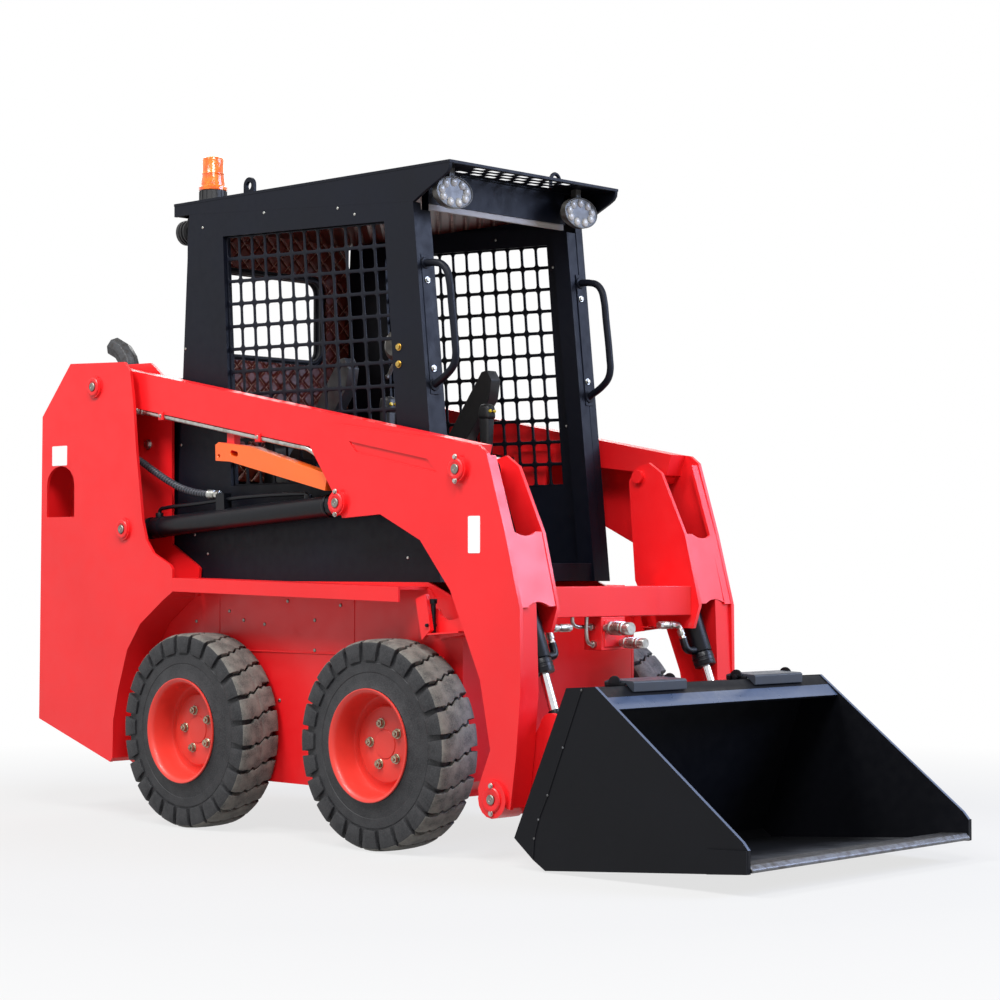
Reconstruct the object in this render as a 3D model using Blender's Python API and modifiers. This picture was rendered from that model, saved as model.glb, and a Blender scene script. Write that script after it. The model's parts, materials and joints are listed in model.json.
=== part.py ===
"""Skid steer loader with a bucket, parked with its arms down.

The machine frame has x forward from the rear axle, y to the machine's left and z up from the ground.
The model's origin is the middle of the footprint: every piece hangs from one empty that carries the shift.
"""

import math

import bmesh
import bpy
from mathutils import Euler, Matrix, Vector

# Driving sizes of the whole machine, in metres
WHEELBASE = 0.849
TYRE_RADIUS = 0.300
TYRE_OUTER_Y = 0.518
TYRE_INNER_Y = 0.3735
MACHINE_REAR_X = -0.806
BUCKET_EDGE_X = 2.181
MIDDLE_X = (MACHINE_REAR_X + BUCKET_EDGE_X) / 2
SEAM = 0.0003
ROD_CLEARANCE = 0.0006
BORE_CLEARANCE = 0.0002
OVERRUN = 0.020
INSET = 0.001
WELD = 0.00002

# Pivots of the linkage, in the machine frame (x, z)
ARM_PIVOT = (-0.502, 1.388)
LIFT_TOWER_PIN = (-0.343, 0.924)
LIFT_ARM_PIN = (0.658, 0.989)
TILT_ARM_PIN = (1.151, 1.073)
TILT_COUPLER_PIN = (1.420, 0.370)
BUCKET_PIVOT = (1.286, 0.175)
PIN_RADIUS = 0.020
PIN_SIDES = 12
BOSS_SIDES = 16

# Layers across the machine (distance from its middle plane)
CHASSIS_SIDE_Y = (0.356, 0.366)
TOWER_INNER_Y = (0.3663, 0.3763)
TOWER_OUTER_Y = (0.475, 0.485)
ARM_BOX_INNER_Y = 0.385
ARM_BEAM_OUTER_Y = 0.453
ARM_PLATE_Y = (0.449, 0.461)
KNEE_INNER_Y = (0.300, 0.312)
BUCKET_SIDE_Y = (0.481, 0.491)
CAB_SIDE_Y = (0.333, 0.363)
LIFT_CYLINDER_Y = 0.4125
TILT_CYLINDER_Y = 0.348

PARTS = "skid_steer_loader"
CUTTERS = "cutters"


def hex_colour(value):
    """Linear colour of an sRGB hex value."""
    channels = [int(value[i:i + 2], 16) / 255 for i in (0, 2, 4)]
    linear = [c / 12.92 if c <= 0.04045 else ((c + 0.055) / 1.055) ** 2.4 for c in channels]
    return (*linear, 1.0)


# Finish of each material: colour, roughness, metallic
FINISHES = {
    "red_paint": ("E8222B", 0.35, 0.0),
    "black_paint": ("1C1F28", 0.45, 0.0),
    "bucket_paint": ("1E1E22", 0.40, 0.0),
    "orange_paint": ("FF6F22", 0.40, 0.0),
    "rim_paint": ("E8452F", 0.45, 0.0),
    "tyre_rubber": ("4A4A4C", 0.85, 0.0),
    "bare_steel": ("B8B8B6", 0.30, 1.0),
    "chrome": ("D8D8DA", 0.12, 1.0),
    "black_plastic": ("202124", 0.60, 0.0),
    "lining_leather": ("8A3A22", 0.60, 0.0),
    "seat_vinyl": ("1A1A1C", 0.60, 0.0),
    "lamp_lens": ("D8DCE0", 0.15, 0.0),
    "beacon_lens": ("FF8A1E", 0.20, 0.0),
    "engine_iron": ("55585C", 0.60, 0.5),
    "worn_edge_steel": ("6A6C70", 0.45, 0.8),
}


def clear_scene():
    """Remove every object and make the two collections."""
    for thing in list(bpy.data.objects):
        bpy.data.objects.remove(thing, do_unlink=True)
    for name in (PARTS, CUTTERS):
        group = bpy.data.collections.new(name)
        bpy.context.scene.collection.children.link(group)
    return bpy.data.collections[PARTS]


def link_mesh(name, mesh):
    """Wrap a mesh in an object of the parts collection."""
    thing = bpy.data.objects.new(name, mesh)
    bpy.data.collections[PARTS].objects.link(thing)
    return thing


def from_bmesh(name, bm):
    """Object made of a bmesh, with its normals facing out."""
    bmesh.ops.recalc_face_normals(bm, faces=bm.faces)
    mesh = bpy.data.meshes.new(name)
    bm.to_mesh(mesh)
    bm.free()
    return link_mesh(name, mesh)


def baked(thing):
    """Replace an object by the mesh that its curve or modifiers give, welded, in the machine frame."""
    graph = bpy.context.evaluated_depsgraph_get()
    mesh = bpy.data.meshes.new_from_object(thing.evaluated_get(graph))
    bm = bmesh.new()
    bm.from_mesh(mesh)
    bmesh.ops.remove_doubles(bm, verts=bm.verts, dist=WELD)
    bmesh.ops.transform(bm, matrix=thing.matrix_world, verts=bm.verts)
    name = thing.name
    bpy.data.objects.remove(thing, do_unlink=True)
    bpy.data.meshes.remove(mesh)
    return from_bmesh(name, bm)


def box(x, y, z):
    """Block between two x, two y and two z values."""
    bm = bmesh.new()
    bmesh.ops.create_cube(bm, size=1)
    size = [abs(pair[1] - pair[0]) for pair in (x, y, z)]
    middle = [(pair[0] + pair[1]) / 2 for pair in (x, y, z)]
    bmesh.ops.scale(bm, vec=size, verts=bm.verts)
    bmesh.ops.translate(bm, vec=middle, verts=bm.verts)
    return from_bmesh("box", bm)


def rod(start, end, radius, sides=PIN_SIDES, end_radius=None):
    """Round bar or cone between two points."""
    start, end = Vector(start), Vector(end)
    along = end - start
    bm = bmesh.new()
    turn = Vector((0, 0, 1)).rotation_difference(along).to_matrix().to_4x4()
    place = Matrix.Translation((start + end) / 2) @ turn
    bmesh.ops.create_cone(bm, cap_ends=True, segments=sides, radius1=radius,
                          radius2=radius if end_radius is None else end_radius,
                          depth=along.length, matrix=place)
    return from_bmesh("rod", bm)


def cross_pin(centre, y, radius, sides=PIN_SIDES):
    """Round bar across the machine, at a pivot (x, z), between two y values."""
    return rod((centre[0], y[0], centre[1]), (centre[0], y[1], centre[1]), radius, sides)


def bore_radius(radius, sides):
    """Corner radius of a many-sided bore that a round bar of the same sides turns in."""
    return radius / math.cos(math.pi / sides) + BORE_CLEARANCE


def flat_curve(outlines, thickness):
    """Filled 2D curve of closed outlines; the inner ones are holes."""
    curve = bpy.data.curves.new("outline", "CURVE")
    curve.dimensions = "2D"
    curve.fill_mode = "BOTH"
    curve.extrude = thickness / 2
    for outline in outlines:
        spline = curve.splines.new("POLY")
        spline.points.add(len(outline) - 1)
        for point, place in zip(spline.points, outline):
            point.co = (place[0], place[1], 0, 1)
        spline.use_cyclic_u = True
    thing = bpy.data.objects.new("outline", curve)
    bpy.data.collections[PARTS].objects.link(thing)
    return thing


def prism(plane, outlines, low, high):
    """Flat outline given thickness. plane names the outline's axes: xz, xy or yz."""
    if isinstance(outlines[0][0], (int, float)):
        outlines = [outlines]
    thing = flat_curve(outlines, abs(high - low))
    middle = (low + high) / 2
    quarter = math.pi / 2
    if plane == "xz":
        thing.rotation_euler = (quarter, 0, 0)
        thing.location = (0, middle, 0)
    elif plane == "yz":
        thing.rotation_euler = (quarter, 0, quarter)
        thing.location = (middle, 0, 0)
    else:
        thing.location = (0, 0, middle)
    bpy.context.view_layer.update()
    return baked(thing)


def side_plate(side, outlines, layer):
    """Plate in the x-z plane between two distances from the middle plane, on one side."""
    ys = sorted((side * layer[0], side * layer[1]))
    return prism("xz", outlines, ys[0], ys[1])


def turned(profile, centre, side, steps):
    """Turned body about a cross axis. profile runs from its outer end to its inner end, as (radius, |y|)."""
    mesh = bpy.data.meshes.new("profile")
    points = [(radius, 0, y) for radius, y in profile]
    mesh.from_pydata(points, [(i, i + 1) for i in range(len(points) - 1)], [])
    thing = link_mesh("turned", mesh)
    screw = thing.modifiers.new("turn", "SCREW")
    screw.steps = steps
    screw.render_steps = steps
    screw.use_merge_vertices = True
    screw.merge_threshold = WELD
    thing.rotation_euler = (side * -math.pi / 2, 0, 0)
    thing.location = (centre[0], 0, centre[1])
    bpy.context.view_layer.update()
    return baked(thing)


def lathe(profile, start, way, y, steps):
    """Turned body on an axis in the x-z plane. profile holds (radius, distance along the axis)."""
    mesh = bpy.data.meshes.new("profile")
    points = [(radius, 0, along) for radius, along in profile]
    mesh.from_pydata(points, [(i, i + 1) for i in range(len(points) - 1)], [])
    thing = link_mesh("turned", mesh)
    screw = thing.modifiers.new("turn", "SCREW")
    screw.steps = steps
    screw.render_steps = steps
    screw.use_merge_vertices = True
    screw.merge_threshold = WELD
    thing.rotation_euler = (0, math.atan2(way.x, way.y), 0)
    thing.location = (start[0], y, start[1])
    bpy.context.view_layer.update()
    return baked(thing)


def tube(points, radius, resolution=2):
    """Round bar along a line of points."""
    curve = bpy.data.curves.new("line", "CURVE")
    curve.dimensions = "3D"
    curve.bevel_depth = radius
    curve.bevel_resolution = resolution
    curve.use_fill_caps = True
    spline = curve.splines.new("POLY")
    spline.points.add(len(points) - 1)
    for point, place in zip(spline.points, points):
        point.co = (*place, 1)
    thing = bpy.data.objects.new("line", curve)
    bpy.data.collections[PARTS].objects.link(thing)
    bpy.context.view_layer.update()
    return baked(thing)


def combine(target, others, operation):
    """Apply one exact Boolean for each of the other pieces, and remove them."""
    for other in others:
        step = target.modifiers.new("combine", "BOOLEAN")
        step.operation = operation
        step.solver = "EXACT"
        step.object = other
        bpy.context.view_layer.update()
        target = baked(target)
        bpy.data.objects.remove(other, do_unlink=True)
    return target


def unite(target, *others):
    """Join overlapping pieces into one closed body."""
    return combine(target, others, "UNION")


def cut(target, *cutters):
    """Cut pieces away."""
    return combine(target, cutters, "DIFFERENCE")


def arc(centre, radius, start, end, steps):
    """Points on an arc, between two angles in degrees."""
    return [polar(centre, radius, math.radians(start + (end - start) * i / steps)) for i in range(steps + 1)]


def polar(centre, radius, angle):
    """Point at a radius and an angle round a centre."""
    return (centre[0] + radius * math.cos(angle), centre[1] + radius * math.sin(angle))


def oval(centre, half_width, half_height, sides):
    """Closed outline of an ellipse."""
    angles = [math.tau * i / sides for i in range(sides)]
    return [(centre[0] + half_width * math.cos(a), centre[1] + half_height * math.sin(a)) for a in angles]


def rounded(corners, radius, steps=3):
    """Closed outline with every corner rounded."""
    outline = []
    count = len(corners)
    for i, corner in enumerate(corners):
        here = Vector(corner)
        before = (Vector(corners[i - 1]) - here).normalized()
        after = (Vector(corners[(i + 1) % count]) - here).normalized()
        half = before.angle(after) / 2
        reach = radius / math.tan(half)
        centre = here + (before + after).normalized() * radius / math.sin(half)
        first = here + before * reach - centre
        turn = first.angle_signed(here + after * reach - centre)
        for k in range(steps + 1):
            swing = Matrix.Rotation(-turn * k / steps, 2)
            outline.append(tuple(centre + swing @ first))
    return outline


def offset_path(path, distance, trim):
    """Open path moved to its left, with its two ends drawn in."""
    moved = []
    for i, here in enumerate(path):
        here = Vector(here)
        ways = []
        if i > 0:
            ways.append((here - Vector(path[i - 1])).normalized())
        if i < len(path) - 1:
            ways.append((Vector(path[i + 1]) - here).normalized())
        normals = [Vector((-way.y, way.x)) for way in ways]
        middle = sum(normals, Vector((0, 0))).normalized()
        draw = Vector((0, 0))
        if i == 0:
            draw = ways[0] * trim
        if i == len(path) - 1:
            draw = -ways[-1] * trim
        moved.append(tuple(here + middle * distance / middle.dot(normals[0]) + draw))
    return moved


def band(path, thickness, inset=0):
    """Closed outline of an open path that is given a thickness on its left, a little way inside it."""
    step = math.copysign(inset, thickness)
    near = offset_path(path, step, inset)
    far = offset_path(path, step + thickness, inset)
    return near + far[::-1]


def shares_to_outline(shares, origin, size):
    """Outline from hand-chosen shares of a length and a height."""
    return [(origin[0] + u * size[0], origin[1] + v * size[1]) for u, v in shares]


class Machine:
    """The empties that carry the bodies, and the hand-over of finished pieces."""

    def __init__(self):
        self.bodies = {}
        self.places = {}
        root = self.add_empty("frame", None, (0, 0, 0))
        root.location = (-MIDDLE_X, 0, 0)

    def add_empty(self, name, parent, place):
        """Empty on a joint's axis, given in the machine frame."""
        empty = bpy.data.objects.new("body_" + name, None)
        bpy.data.collections[PARTS].objects.link(empty)
        self.bodies[name] = empty
        self.places[name] = Vector(place)
        if parent is not None:
            empty.parent = self.bodies[parent]
            empty.location = Vector(place) - self.places[parent]
        return empty

    def keep(self, thing, name, body, finish, smooth_angle=None):
        """Name a finished piece, colour it and hang it on its body."""
        thing.name = name
        thing.data.name = name
        thing.parent = self.bodies[body]
        thing.location = -self.places[body]
        look = bpy.data.materials.new(name)
        look.use_nodes = True
        shader = look.node_tree.nodes["Principled BSDF"]
        colour, roughness, metallic = FINISHES[finish]
        shader.inputs["Base Color"].default_value = hex_colour(colour)
        shader.inputs["Roughness"].default_value = roughness
        shader.inputs["Metallic"].default_value = metallic
        thing.data.materials.clear()
        thing.data.materials.append(look)
        if smooth_angle is not None:
            thing.data.shade_smooth()
            thing.data.set_sharp_from_angle(angle=math.radians(smooth_angle))
        return thing


SIDES = {"right": -1, "left": 1}
SMOOTH_ANGLE = 35

# Chassis tub
BELLY_Z = 0.150
BELLY_THICKNESS = 0.010
CHASSIS_FRONT_X = 1.072
CHASSIS_TOP_Z = 0.7597
CHASSIS_LENGTH = CHASSIS_FRONT_X - MACHINE_REAR_X
CHASSIS_HEIGHT = CHASSIS_TOP_Z - BELLY_Z
CHASSIS_FRONT_TOP_Z = 0.700
REAR_INSET = 0.016
CHAIN_CASE_Y = 0.255
CHAIN_CASE_TOP_Z = 0.560
CHAIN_CASE_X = (-0.300, 1.040)
AXLE_TUBE_RADIUS = 0.046
AXLE_TUBE_OUTER_Y = 0.405
AXLE_SHAFT_RADIUS = 0.028
AXLE_SHAFT_INNER_Y = 0.362
AXLE_BORE_INNER_Y = 0.358
AXLE_SIDES = 20
REAR_BUMPER_Z = (0.300, 0.372)
REAR_BUMPER_THICKNESS = 0.030
# side plate outline: shares of chassis length and height from the lower rear corner
CHASSIS_SIDE_SHARES = [
    (0.015, 0.250), (0.210, 0.000), (0.970, 0.000), (1.000, 0.080), (1.000, 0.902), (0.925, 1.000),
    (0.015, 1.000),
]

# Towers: shares of tower length and height from the lower rear corner
TOWER_FRONT_X = -0.093
TOWER_BASE_Z = 0.178
TOWER_TOP_Z = 1.472
TOWER_SIZE = (TOWER_FRONT_X - MACHINE_REAR_X, TOWER_TOP_Z - TOWER_BASE_Z)
TOWER_ORIGIN = (MACHINE_REAR_X, TOWER_BASE_Z)
TOWER_REAR_SHARES = [(0.235, 1.000), (0.014, 0.870), (0.000, 0.094), (0.554, 0.000)]
TOWER_ARCH_SHARES = [(0.570, 0.010), (0.575, 0.104), (0.611, 0.179), (0.676, 0.279), (0.771, 0.344),
                     (0.935, 0.403), (1.000, 0.423)]
TOWER_FRONT_SHARES = [(1.000, 0.478), (0.985, 0.488), (0.863, 0.517), (0.812, 0.549), (0.783, 0.598),
                      (0.736, 0.770), (0.712, 0.894), (0.689, 0.967), (0.644, 0.991)]
TOWER_INNER_SHARES = [(0.236, 0.998), (0.015, 0.869), (0.003, 0.412), (0.985, 0.412), (0.998, 0.480),
                      (0.985, 0.486), (0.800, 0.540), (0.797, 0.860), (0.750, 0.950), (0.640, 0.994)]
TOWER_WEB_THICKNESS = 0.008
TOWER_BOSS_RADIUS = 0.036
TOWER_BOSS_PROUD = 0.007
TOWER_WINDOW_X = (-0.768, -0.614)
TOWER_WINDOW_Z = (0.968, 1.074)
TOWER_WINDOW_RISE = 0.063

# Fender shelves
FENDER_FRONT_X = 0.933
FENDER_REAR_Z = 0.769
FENDER_FRONT_Z = 0.747
FENDER_THICKNESS = 0.008
FENDER_LIP_HEIGHT = 0.042
FENDER_LIP_Y = (0.478, 0.485)
FENDER_INNER_Y = 0.3663
# folded bracket before the shelf: a back plate, an outer plate and a scooped plate on a thin floor
STOP_ORIGIN = (0.915, 0.596)
STOP_SIZE = (0.225, 0.151)
STOP_BACK_SHARES = [(0.000, 0.975), (0.000, 0.850), (0.200, 0.600), (0.310, 0.013), (0.870, 0.090),
                    (0.710, 0.790), (0.220, 0.800), (0.120, 0.975)]
STOP_OUTER_SHARES = [(0.205, 0.775), (0.390, 0.875), (0.475, 0.205), (0.320, 0.013)]
STOP_SCOOP_SHARES = [(0.415, 0.600), (0.475, 0.600), (0.525, 0.465), (0.630, 0.390), (0.705, 0.390),
                     (0.835, 0.435), (0.900, 0.475), (1.000, 0.140), (0.490, 0.040), (0.415, 0.035)]
STOP_FLOOR_SHARES = [(0.340, 0.100), (0.960, 0.165)]
STOP_BACK_Y = (0.3668, 0.3725)
STOP_SCOOP_Y = (0.406, 0.414)
STOP_OUTER_Y = (0.431, 0.445)
STOP_FLOOR = 0.005

# Loader arms: shares of the reach and drop from the arm pivot to the bucket pivot
ARM_SIZE = (BUCKET_PIVOT[0] - ARM_PIVOT[0], -(ARM_PIVOT[1] - BUCKET_PIVOT[1]))
ARM_TOP_SHARES = [(0.967, 0.207), (0.984, 0.226), (1.023, 0.406), (1.054, 0.575)]
ARM_LEG_FRONT_SHARES = [(1.055, 0.760), (1.046, 0.900), (1.034, 1.020)]
ARM_LEG_REAR_SHARES = [(0.968, 1.000), (0.966, 0.978), (0.992, 0.891), (0.970, 0.736)]
ARM_KNEE_SHARES = [(0.905, 0.535), (0.838, 0.420), (0.746, 0.358), (0.656, 0.365), (0.631, 0.298),
                   (0.577, 0.191)]
BEAM_SHARES = [(0.000, -0.062), (0.955, 0.2043), (0.945, 0.255), (0.577, 0.191), (0.000, 0.036)]
KNEE_PLATE_REAR_SHARES = [(0.5671, 0.1690), (0.5750, 0.1480), (0.5967, 0.1393), (0.6505, 0.1402)]
POCKET_SHARES = [(0.672, 0.182), (0.854, 0.233), (0.876, 0.265), (0.689, 0.209)]
POCKET_DEPTH = 0.005
LEG_BOX_SHARES = [(1.048, 0.560), (1.053, 0.760), (1.044, 0.900), (1.032, 1.017), (0.970, 0.998),
                  (0.968, 0.979), (0.994, 0.892), (0.972, 0.738), (0.925, 0.570)]
KNEE_INNER_SHARES = [(0.902, 0.270), (0.917, 0.236), (0.945, 0.226), (0.972, 0.252), (1.023, 0.404),
                     (1.053, 0.574), (1.040, 0.630), (0.958, 0.630), (0.915, 0.515)]
KNEE_COVER_SHARES = [(1.0215, 0.402), (1.0510, 0.5700)]
KNEE_COVER_THICKNESS = 0.010
SCALLOP_RADIUS = 0.078
SCALLOP_DEPTH = 0.013
KNEE_FLANGE_SHARES = [(0.9825, 0.2300), (1.0218, 0.406), (1.0525, 0.572)]
KNEE_FLANGE_Y = (0.421, 0.460)
KNEE_FLANGE_THICKNESS = 0.010
SKIN_OVERLAP = 0.004
PIVOT_BOSS_RADIUS = 0.072
PIVOT_BOSS_Y = (0.3795, 0.4715)
TIP_BOSS_RADIUS = 0.052
TIP_BOSS_Y = (0.3835, 0.470)
ARM_BOSS_RADIUS = 0.036
ARM_BOSS_PROUD = 0.012
CYLINDER_LUG_Y = (0.3695, 0.3765)
CYLINDER_LUG_RADIUS = 0.036
CYLINDER_LUG_TOP_Z = 1.170
CYLINDER_LUG_X = (0.560, 0.715)

# Cross beam between the arms
CROSS_BEAM_Z = (0.662, 0.748)
CROSS_BEAM_REAR_X = 1.212
CROSS_BEAM_FRONT_X = 1.297
CROSS_BEAM_END_X = 1.351
CROSS_BEAM_KINK_Y = 0.204

# Hydraulic coupler block under the cross beam
BLOCK_X = (1.225, 1.300)
BLOCK_Y = (-0.050, 0.085)
BLOCK_Z = (0.555, 0.6617)
QUICK_COUPLER_RADIUS = 0.017
QUICK_COUPLER_LENGTH = 0.095
QUICK_COUPLER_PLACE_SHARES = [(0.25, 0.70), (0.70, 0.30)]

# Hydraulic pipes along the beams and the safety strut
PIPE_RADIUS = 0.008
PIPE_REAR_SHARE = 0.120
STRUT_Y = (0.4015, 0.4485)
STRUT_SHARES = [(0.321, 0.171), (0.322, 0.212), (0.360, 0.216), (0.606, 0.298), (0.612, 0.258),
                (0.412, 0.180), (0.330, 0.165)]
STRUT_HANGER_X = (0.115, 0.150)
HANGER_GAP = 0.0075
HANGER_DROP = 0.045
HANGER_HALF_WIDTH = 0.012
STRUT_SLOT_SHARES = (0.372, 0.196)
STRUT_SLOT_SIZE = (0.036, 0.016)
STRUT_HOLE_SHARES = (0.331, 0.200)
STRUT_HOLE_RADIUS = 0.006

# Lift cylinders
LIFT_BARREL_RADIUS = 0.033
LIFT_ROD_RADIUS = 0.018
LIFT_GLAND_LENGTH = 0.045
LIFT_GLAND_RADIUS = 0.0345
LIFT_ROD_SHOWN = 0.037
LIFT_BARREL_HEAD = 0.045
EYE_RADIUS = 0.036
EYE_HALF_WIDTH = 0.020
LIFT_ROD_SLACK = 0.004
TILT_ROD_SLACK = 0.075
EYE_NECK_SHARE = 0.8
CYLINDER_STEPS = 12
PORT_BLOCK_SHARE = 0.63
PORT_BLOCK_SIZE = (0.040, 0.030, 0.050)

# Tilt cylinders
TILT_BARREL_RADIUS = 0.0265
TILT_ROD_RADIUS = 0.014
TILT_GLAND_LENGTH = 0.040
TILT_GLAND_RADIUS = 0.029
TILT_ROD_SHOWN = 0.129
TILT_BARREL_HEAD = 0.120
TILT_EYE_RADIUS = 0.024
TILT_EYE_HALF_WIDTH = 0.013
TILT_CLEVIS_RADIUS = 0.031
TILT_CLEVIS_HALF_WIDTH = 0.022

# Quick coupler
COUPLER_EAR_INNER_Y = (0.312, 0.327)
COUPLER_EAR_OUTER_Y = (0.366, 0.380)
COUPLER_PLATE_THICKNESS = 0.012
COUPLER_FOOT = 0.020
COUPLER_HEAD = 0.030
COUPLER_BAR = 0.060
EAR_RADIUS = 0.040

# Bucket: shares of its depth and height from the heel
BUCKET_HEEL_X = 1.390
BUCKET_HEEL_Z = 0.005
BUCKET_TOP_Z = 0.494
BUCKET_DEPTH = BUCKET_EDGE_X - BUCKET_HEEL_X
BUCKET_HEIGHT = BUCKET_TOP_Z - BUCKET_HEEL_Z
BUCKET_SHEET = 0.008
BUCKET_SIDE_SHARES = [(0.000, 0.158), (0.087, 0.051), (0.142, 0.000), (0.993, 0.106), (0.993, 0.225),
                      (0.970, 0.266), (0.365, 1.000), (0.238, 0.986)]
BUCKET_SHELL_SHARES = [(0.447, 0.886), (0.365, 0.998), (0.300, 0.985), (0.089, 0.055), (0.142, 0.000),
                       (0.880, 0.090)]
BUCKET_MOUNT_SHARES = [(0.305, 0.990), (0.238, 0.986), (0.000, 0.158), (0.090, 0.050)]
EDGE_SHARES = [(0.8805, 0.0965), (0.9900, 0.1100), (1.0000, 0.112), (1.0000, 0.128), (0.985, 0.150),
               (0.8805, 0.1375)]
MOUNT_WINDOW_SHARES = (0.300, 0.860)
MOUNT_WINDOW_Y = [(-0.440, -0.160), (-0.140, 0.140), (0.160, 0.440)]
LATCH_COVER_Y = (0.141, 0.373)
LATCH_COVER_SHARES = [(0.245, 0.987), (0.365, 0.998), (0.378, 1.045), (0.340, 1.065), (0.245, 1.055)]
LATCH_EAR_THICKNESS = 0.010
LATCH_EAR_RADIUS = 0.032
LATCH_EAR_PLACE_SHARES = (0.305, 1.030)
WEAR_PLATE_SHARES = [(0.835, 0.086), (0.992, 0.1065), (0.992, 0.224), (0.835, 0.212)]
WEAR_PLATE_THICKNESS = 0.006

# Wheels: outer end to inner end, radius and |y|
RIM_FLANGE_RADIUS = 0.161
RIM_SEAT_RADIUS = 0.150
RIM_OUTER_Y = 0.528
RIM_INNER_Y = 0.3715
RIM_SHEET = 0.007
DISC_Y = 0.455
DISC_THICKNESS = 0.010
DISC_RING_RADIUS = 0.112
DISC_DISH = 0.012
HUB_RADIUS = 0.042
HUB_OUTER_Y = 0.457
HUB_FLANGE_RADIUS = 0.075
HUB_FLANGE_Y = 0.425
WHEEL_STEPS = 20
BLOCK_COUNT = 24
BLOCK_GAP_SHARE = 0.19
GROOVE_DEPTH = 0.017

# Cab
CAB_BASE_Z = 0.760
CAB_FRONT_FOOT_X = 0.979
CAB_FRONT_TOP_X = 0.864
CAB_FRONT_TOP_Z = 1.857
CAB_REAR_X = -0.235
CAB_REAR_TOP_X = -0.170
CAB_REAR_TOP_Z = 1.929
PILLAR_DEPTH = 0.070
PILLAR_LENGTH = 0.062
ROOF_REAR_X = -0.249
ROOF_OVERHANG = 0.151
ROOF_FRONT_X = CAB_FRONT_TOP_X + ROOF_OVERHANG
ROOF_REAR_Z = 1.971
ROOF_FRONT_Z = 1.961
ROOF_SHEET = 0.008
ROOF_SKIRT = 0.012
VISOR_ROWS = 2
VISOR_COLUMNS = 6
VISOR_SLOT = (0.020, 0.062)
VISOR_PITCH = (0.036, 0.088)
MESH_CORNERS = [(0.742, 1.812), (0.812, 1.056), (0.046, 1.056), (0.000, 1.842)]
MESH_THICKNESS = 0.008
MESH_COLUMNS = 6
MESH_ROWS = 6
MESH_BAR = 0.012
MESH_SEAT = 0.0004
REAR_WALL_X = -0.218
REAR_WALL_TOP_Z = 1.925
REAR_WALL_THICKNESS = 0.030
REAR_WINDOW_HALF_WIDTH = 0.215
REAR_WINDOW_Z = (1.490, 1.766)
REAR_WINDOW_RADIUS = 0.045
FLOOR_THICKNESS = 0.012
SILL_HEIGHT = 0.055
HEADER_SETBACK = 0.008
HEADER_DEPTH = 0.028
HEADER_LOW_Z = 1.790
LINING_THICKNESS = 0.012
LINING_SHELF_Z = 1.080
LINING_HALF_WIDTH = 0.330
LINING_TOP_Z = 1.900
LINING_MARGIN = 0.012

# Seat, levers, arm rests
SEAT_BASE_X = (0.020, 0.420)
SEAT_BASE_Y = 0.190
SEAT_BASE_TOP_Z = 1.020
CUSHION_THICKNESS = 0.085
BACKREST_X = (-0.010, 0.080)
BACKREST_TOP_Z = 1.290
CUSHION_FRONT_X = 0.470
CUSHION_HALF_WIDTH = 0.225
LEVER_X = 0.599
LEVER_Y = 0.212
LEVER_TOP_Z = 1.315
LEVER_STALK_RADIUS = 0.012
LEVER_GRIP_RADIUS = 0.026
LEVER_GRIP_LENGTH = 0.190
ARMREST_PIVOT = (0.215, 1.030)
ARMREST_Y = (0.283, 0.3265)
ARMREST_SHARES = [(-0.10, 0.00), (-0.03, 0.09), (0.44, 0.47), (0.98, 1.00), (1.06, 1.01), (1.13, 0.93),
                  (1.09, 0.77), (0.77, 0.48), (0.30, 0.00), (0.10, -0.10), (-0.05, -0.08)]
ARMREST_SIZE = (0.295, 0.395)
ARMREST_PIN_RADIUS = 0.012

# Grab handles
HANDLE_Y = 0.332
HANDLE_RADIUS = 0.011
HANDLE_SEAT = 0.0048
# height, and distance in front of the pillar
HANDLE_PLACES = [(1.680, HANDLE_SEAT), (1.655, 0.072), (1.592, 0.093), (1.400, 0.100), (1.358, 0.076),
                 (1.325, HANDLE_SEAT)]

# Lamps
FRONT_LAMP_Y = 0.272
FRONT_LAMP_SETBACK = 0.070
FRONT_LAMP_DEPTH = 0.045
FRONT_LAMP_Z = 1.885
FRONT_LAMP_SIZE = (0.074, 0.047)
REAR_LAMP_PLACE = (-0.270, 1.892)
REAR_LAMP_RADIUS = 0.040
REAR_LAMP_X = (-0.306, -0.264)
LAMP_POST_RADIUS = 0.012
LAMP_SIDES = 16
BEACON_PLACE = (-0.190, -0.250)
BEACON_RADIUS = 0.040
BEACON_CAP_RADIUS = 0.030
BEACON_BASE_RADIUS = 0.046
BEACON_BASE_HEIGHT = 0.034
BEACON_HEIGHT = 0.163
EYE_PLACES = [(0.056, -0.300), (0.889, 0.200)]
EYE_PLATE_THICKNESS = 0.012
EYE_PLATE_HEIGHT = 0.062
EYE_PLATE_WIDTH = 0.050

# Engine bay
COWL_Z = 1.412
COWL_THICKNESS = 0.010
COWL_X = (-0.640, -0.2510)
COWL_REAR_X = -0.775
COWL_REAR_Z = 1.296
ENGINE_X = (-0.700, -0.300)
ENGINE_Y = 0.200
ENGINE_TOP_Z = 0.950
EXHAUST_PLACE = (-0.590, -0.280)
EXHAUST_RADIUS = 0.034
EXHAUST_DROP = 0.120
EXHAUST_RISE = 0.055
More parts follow.
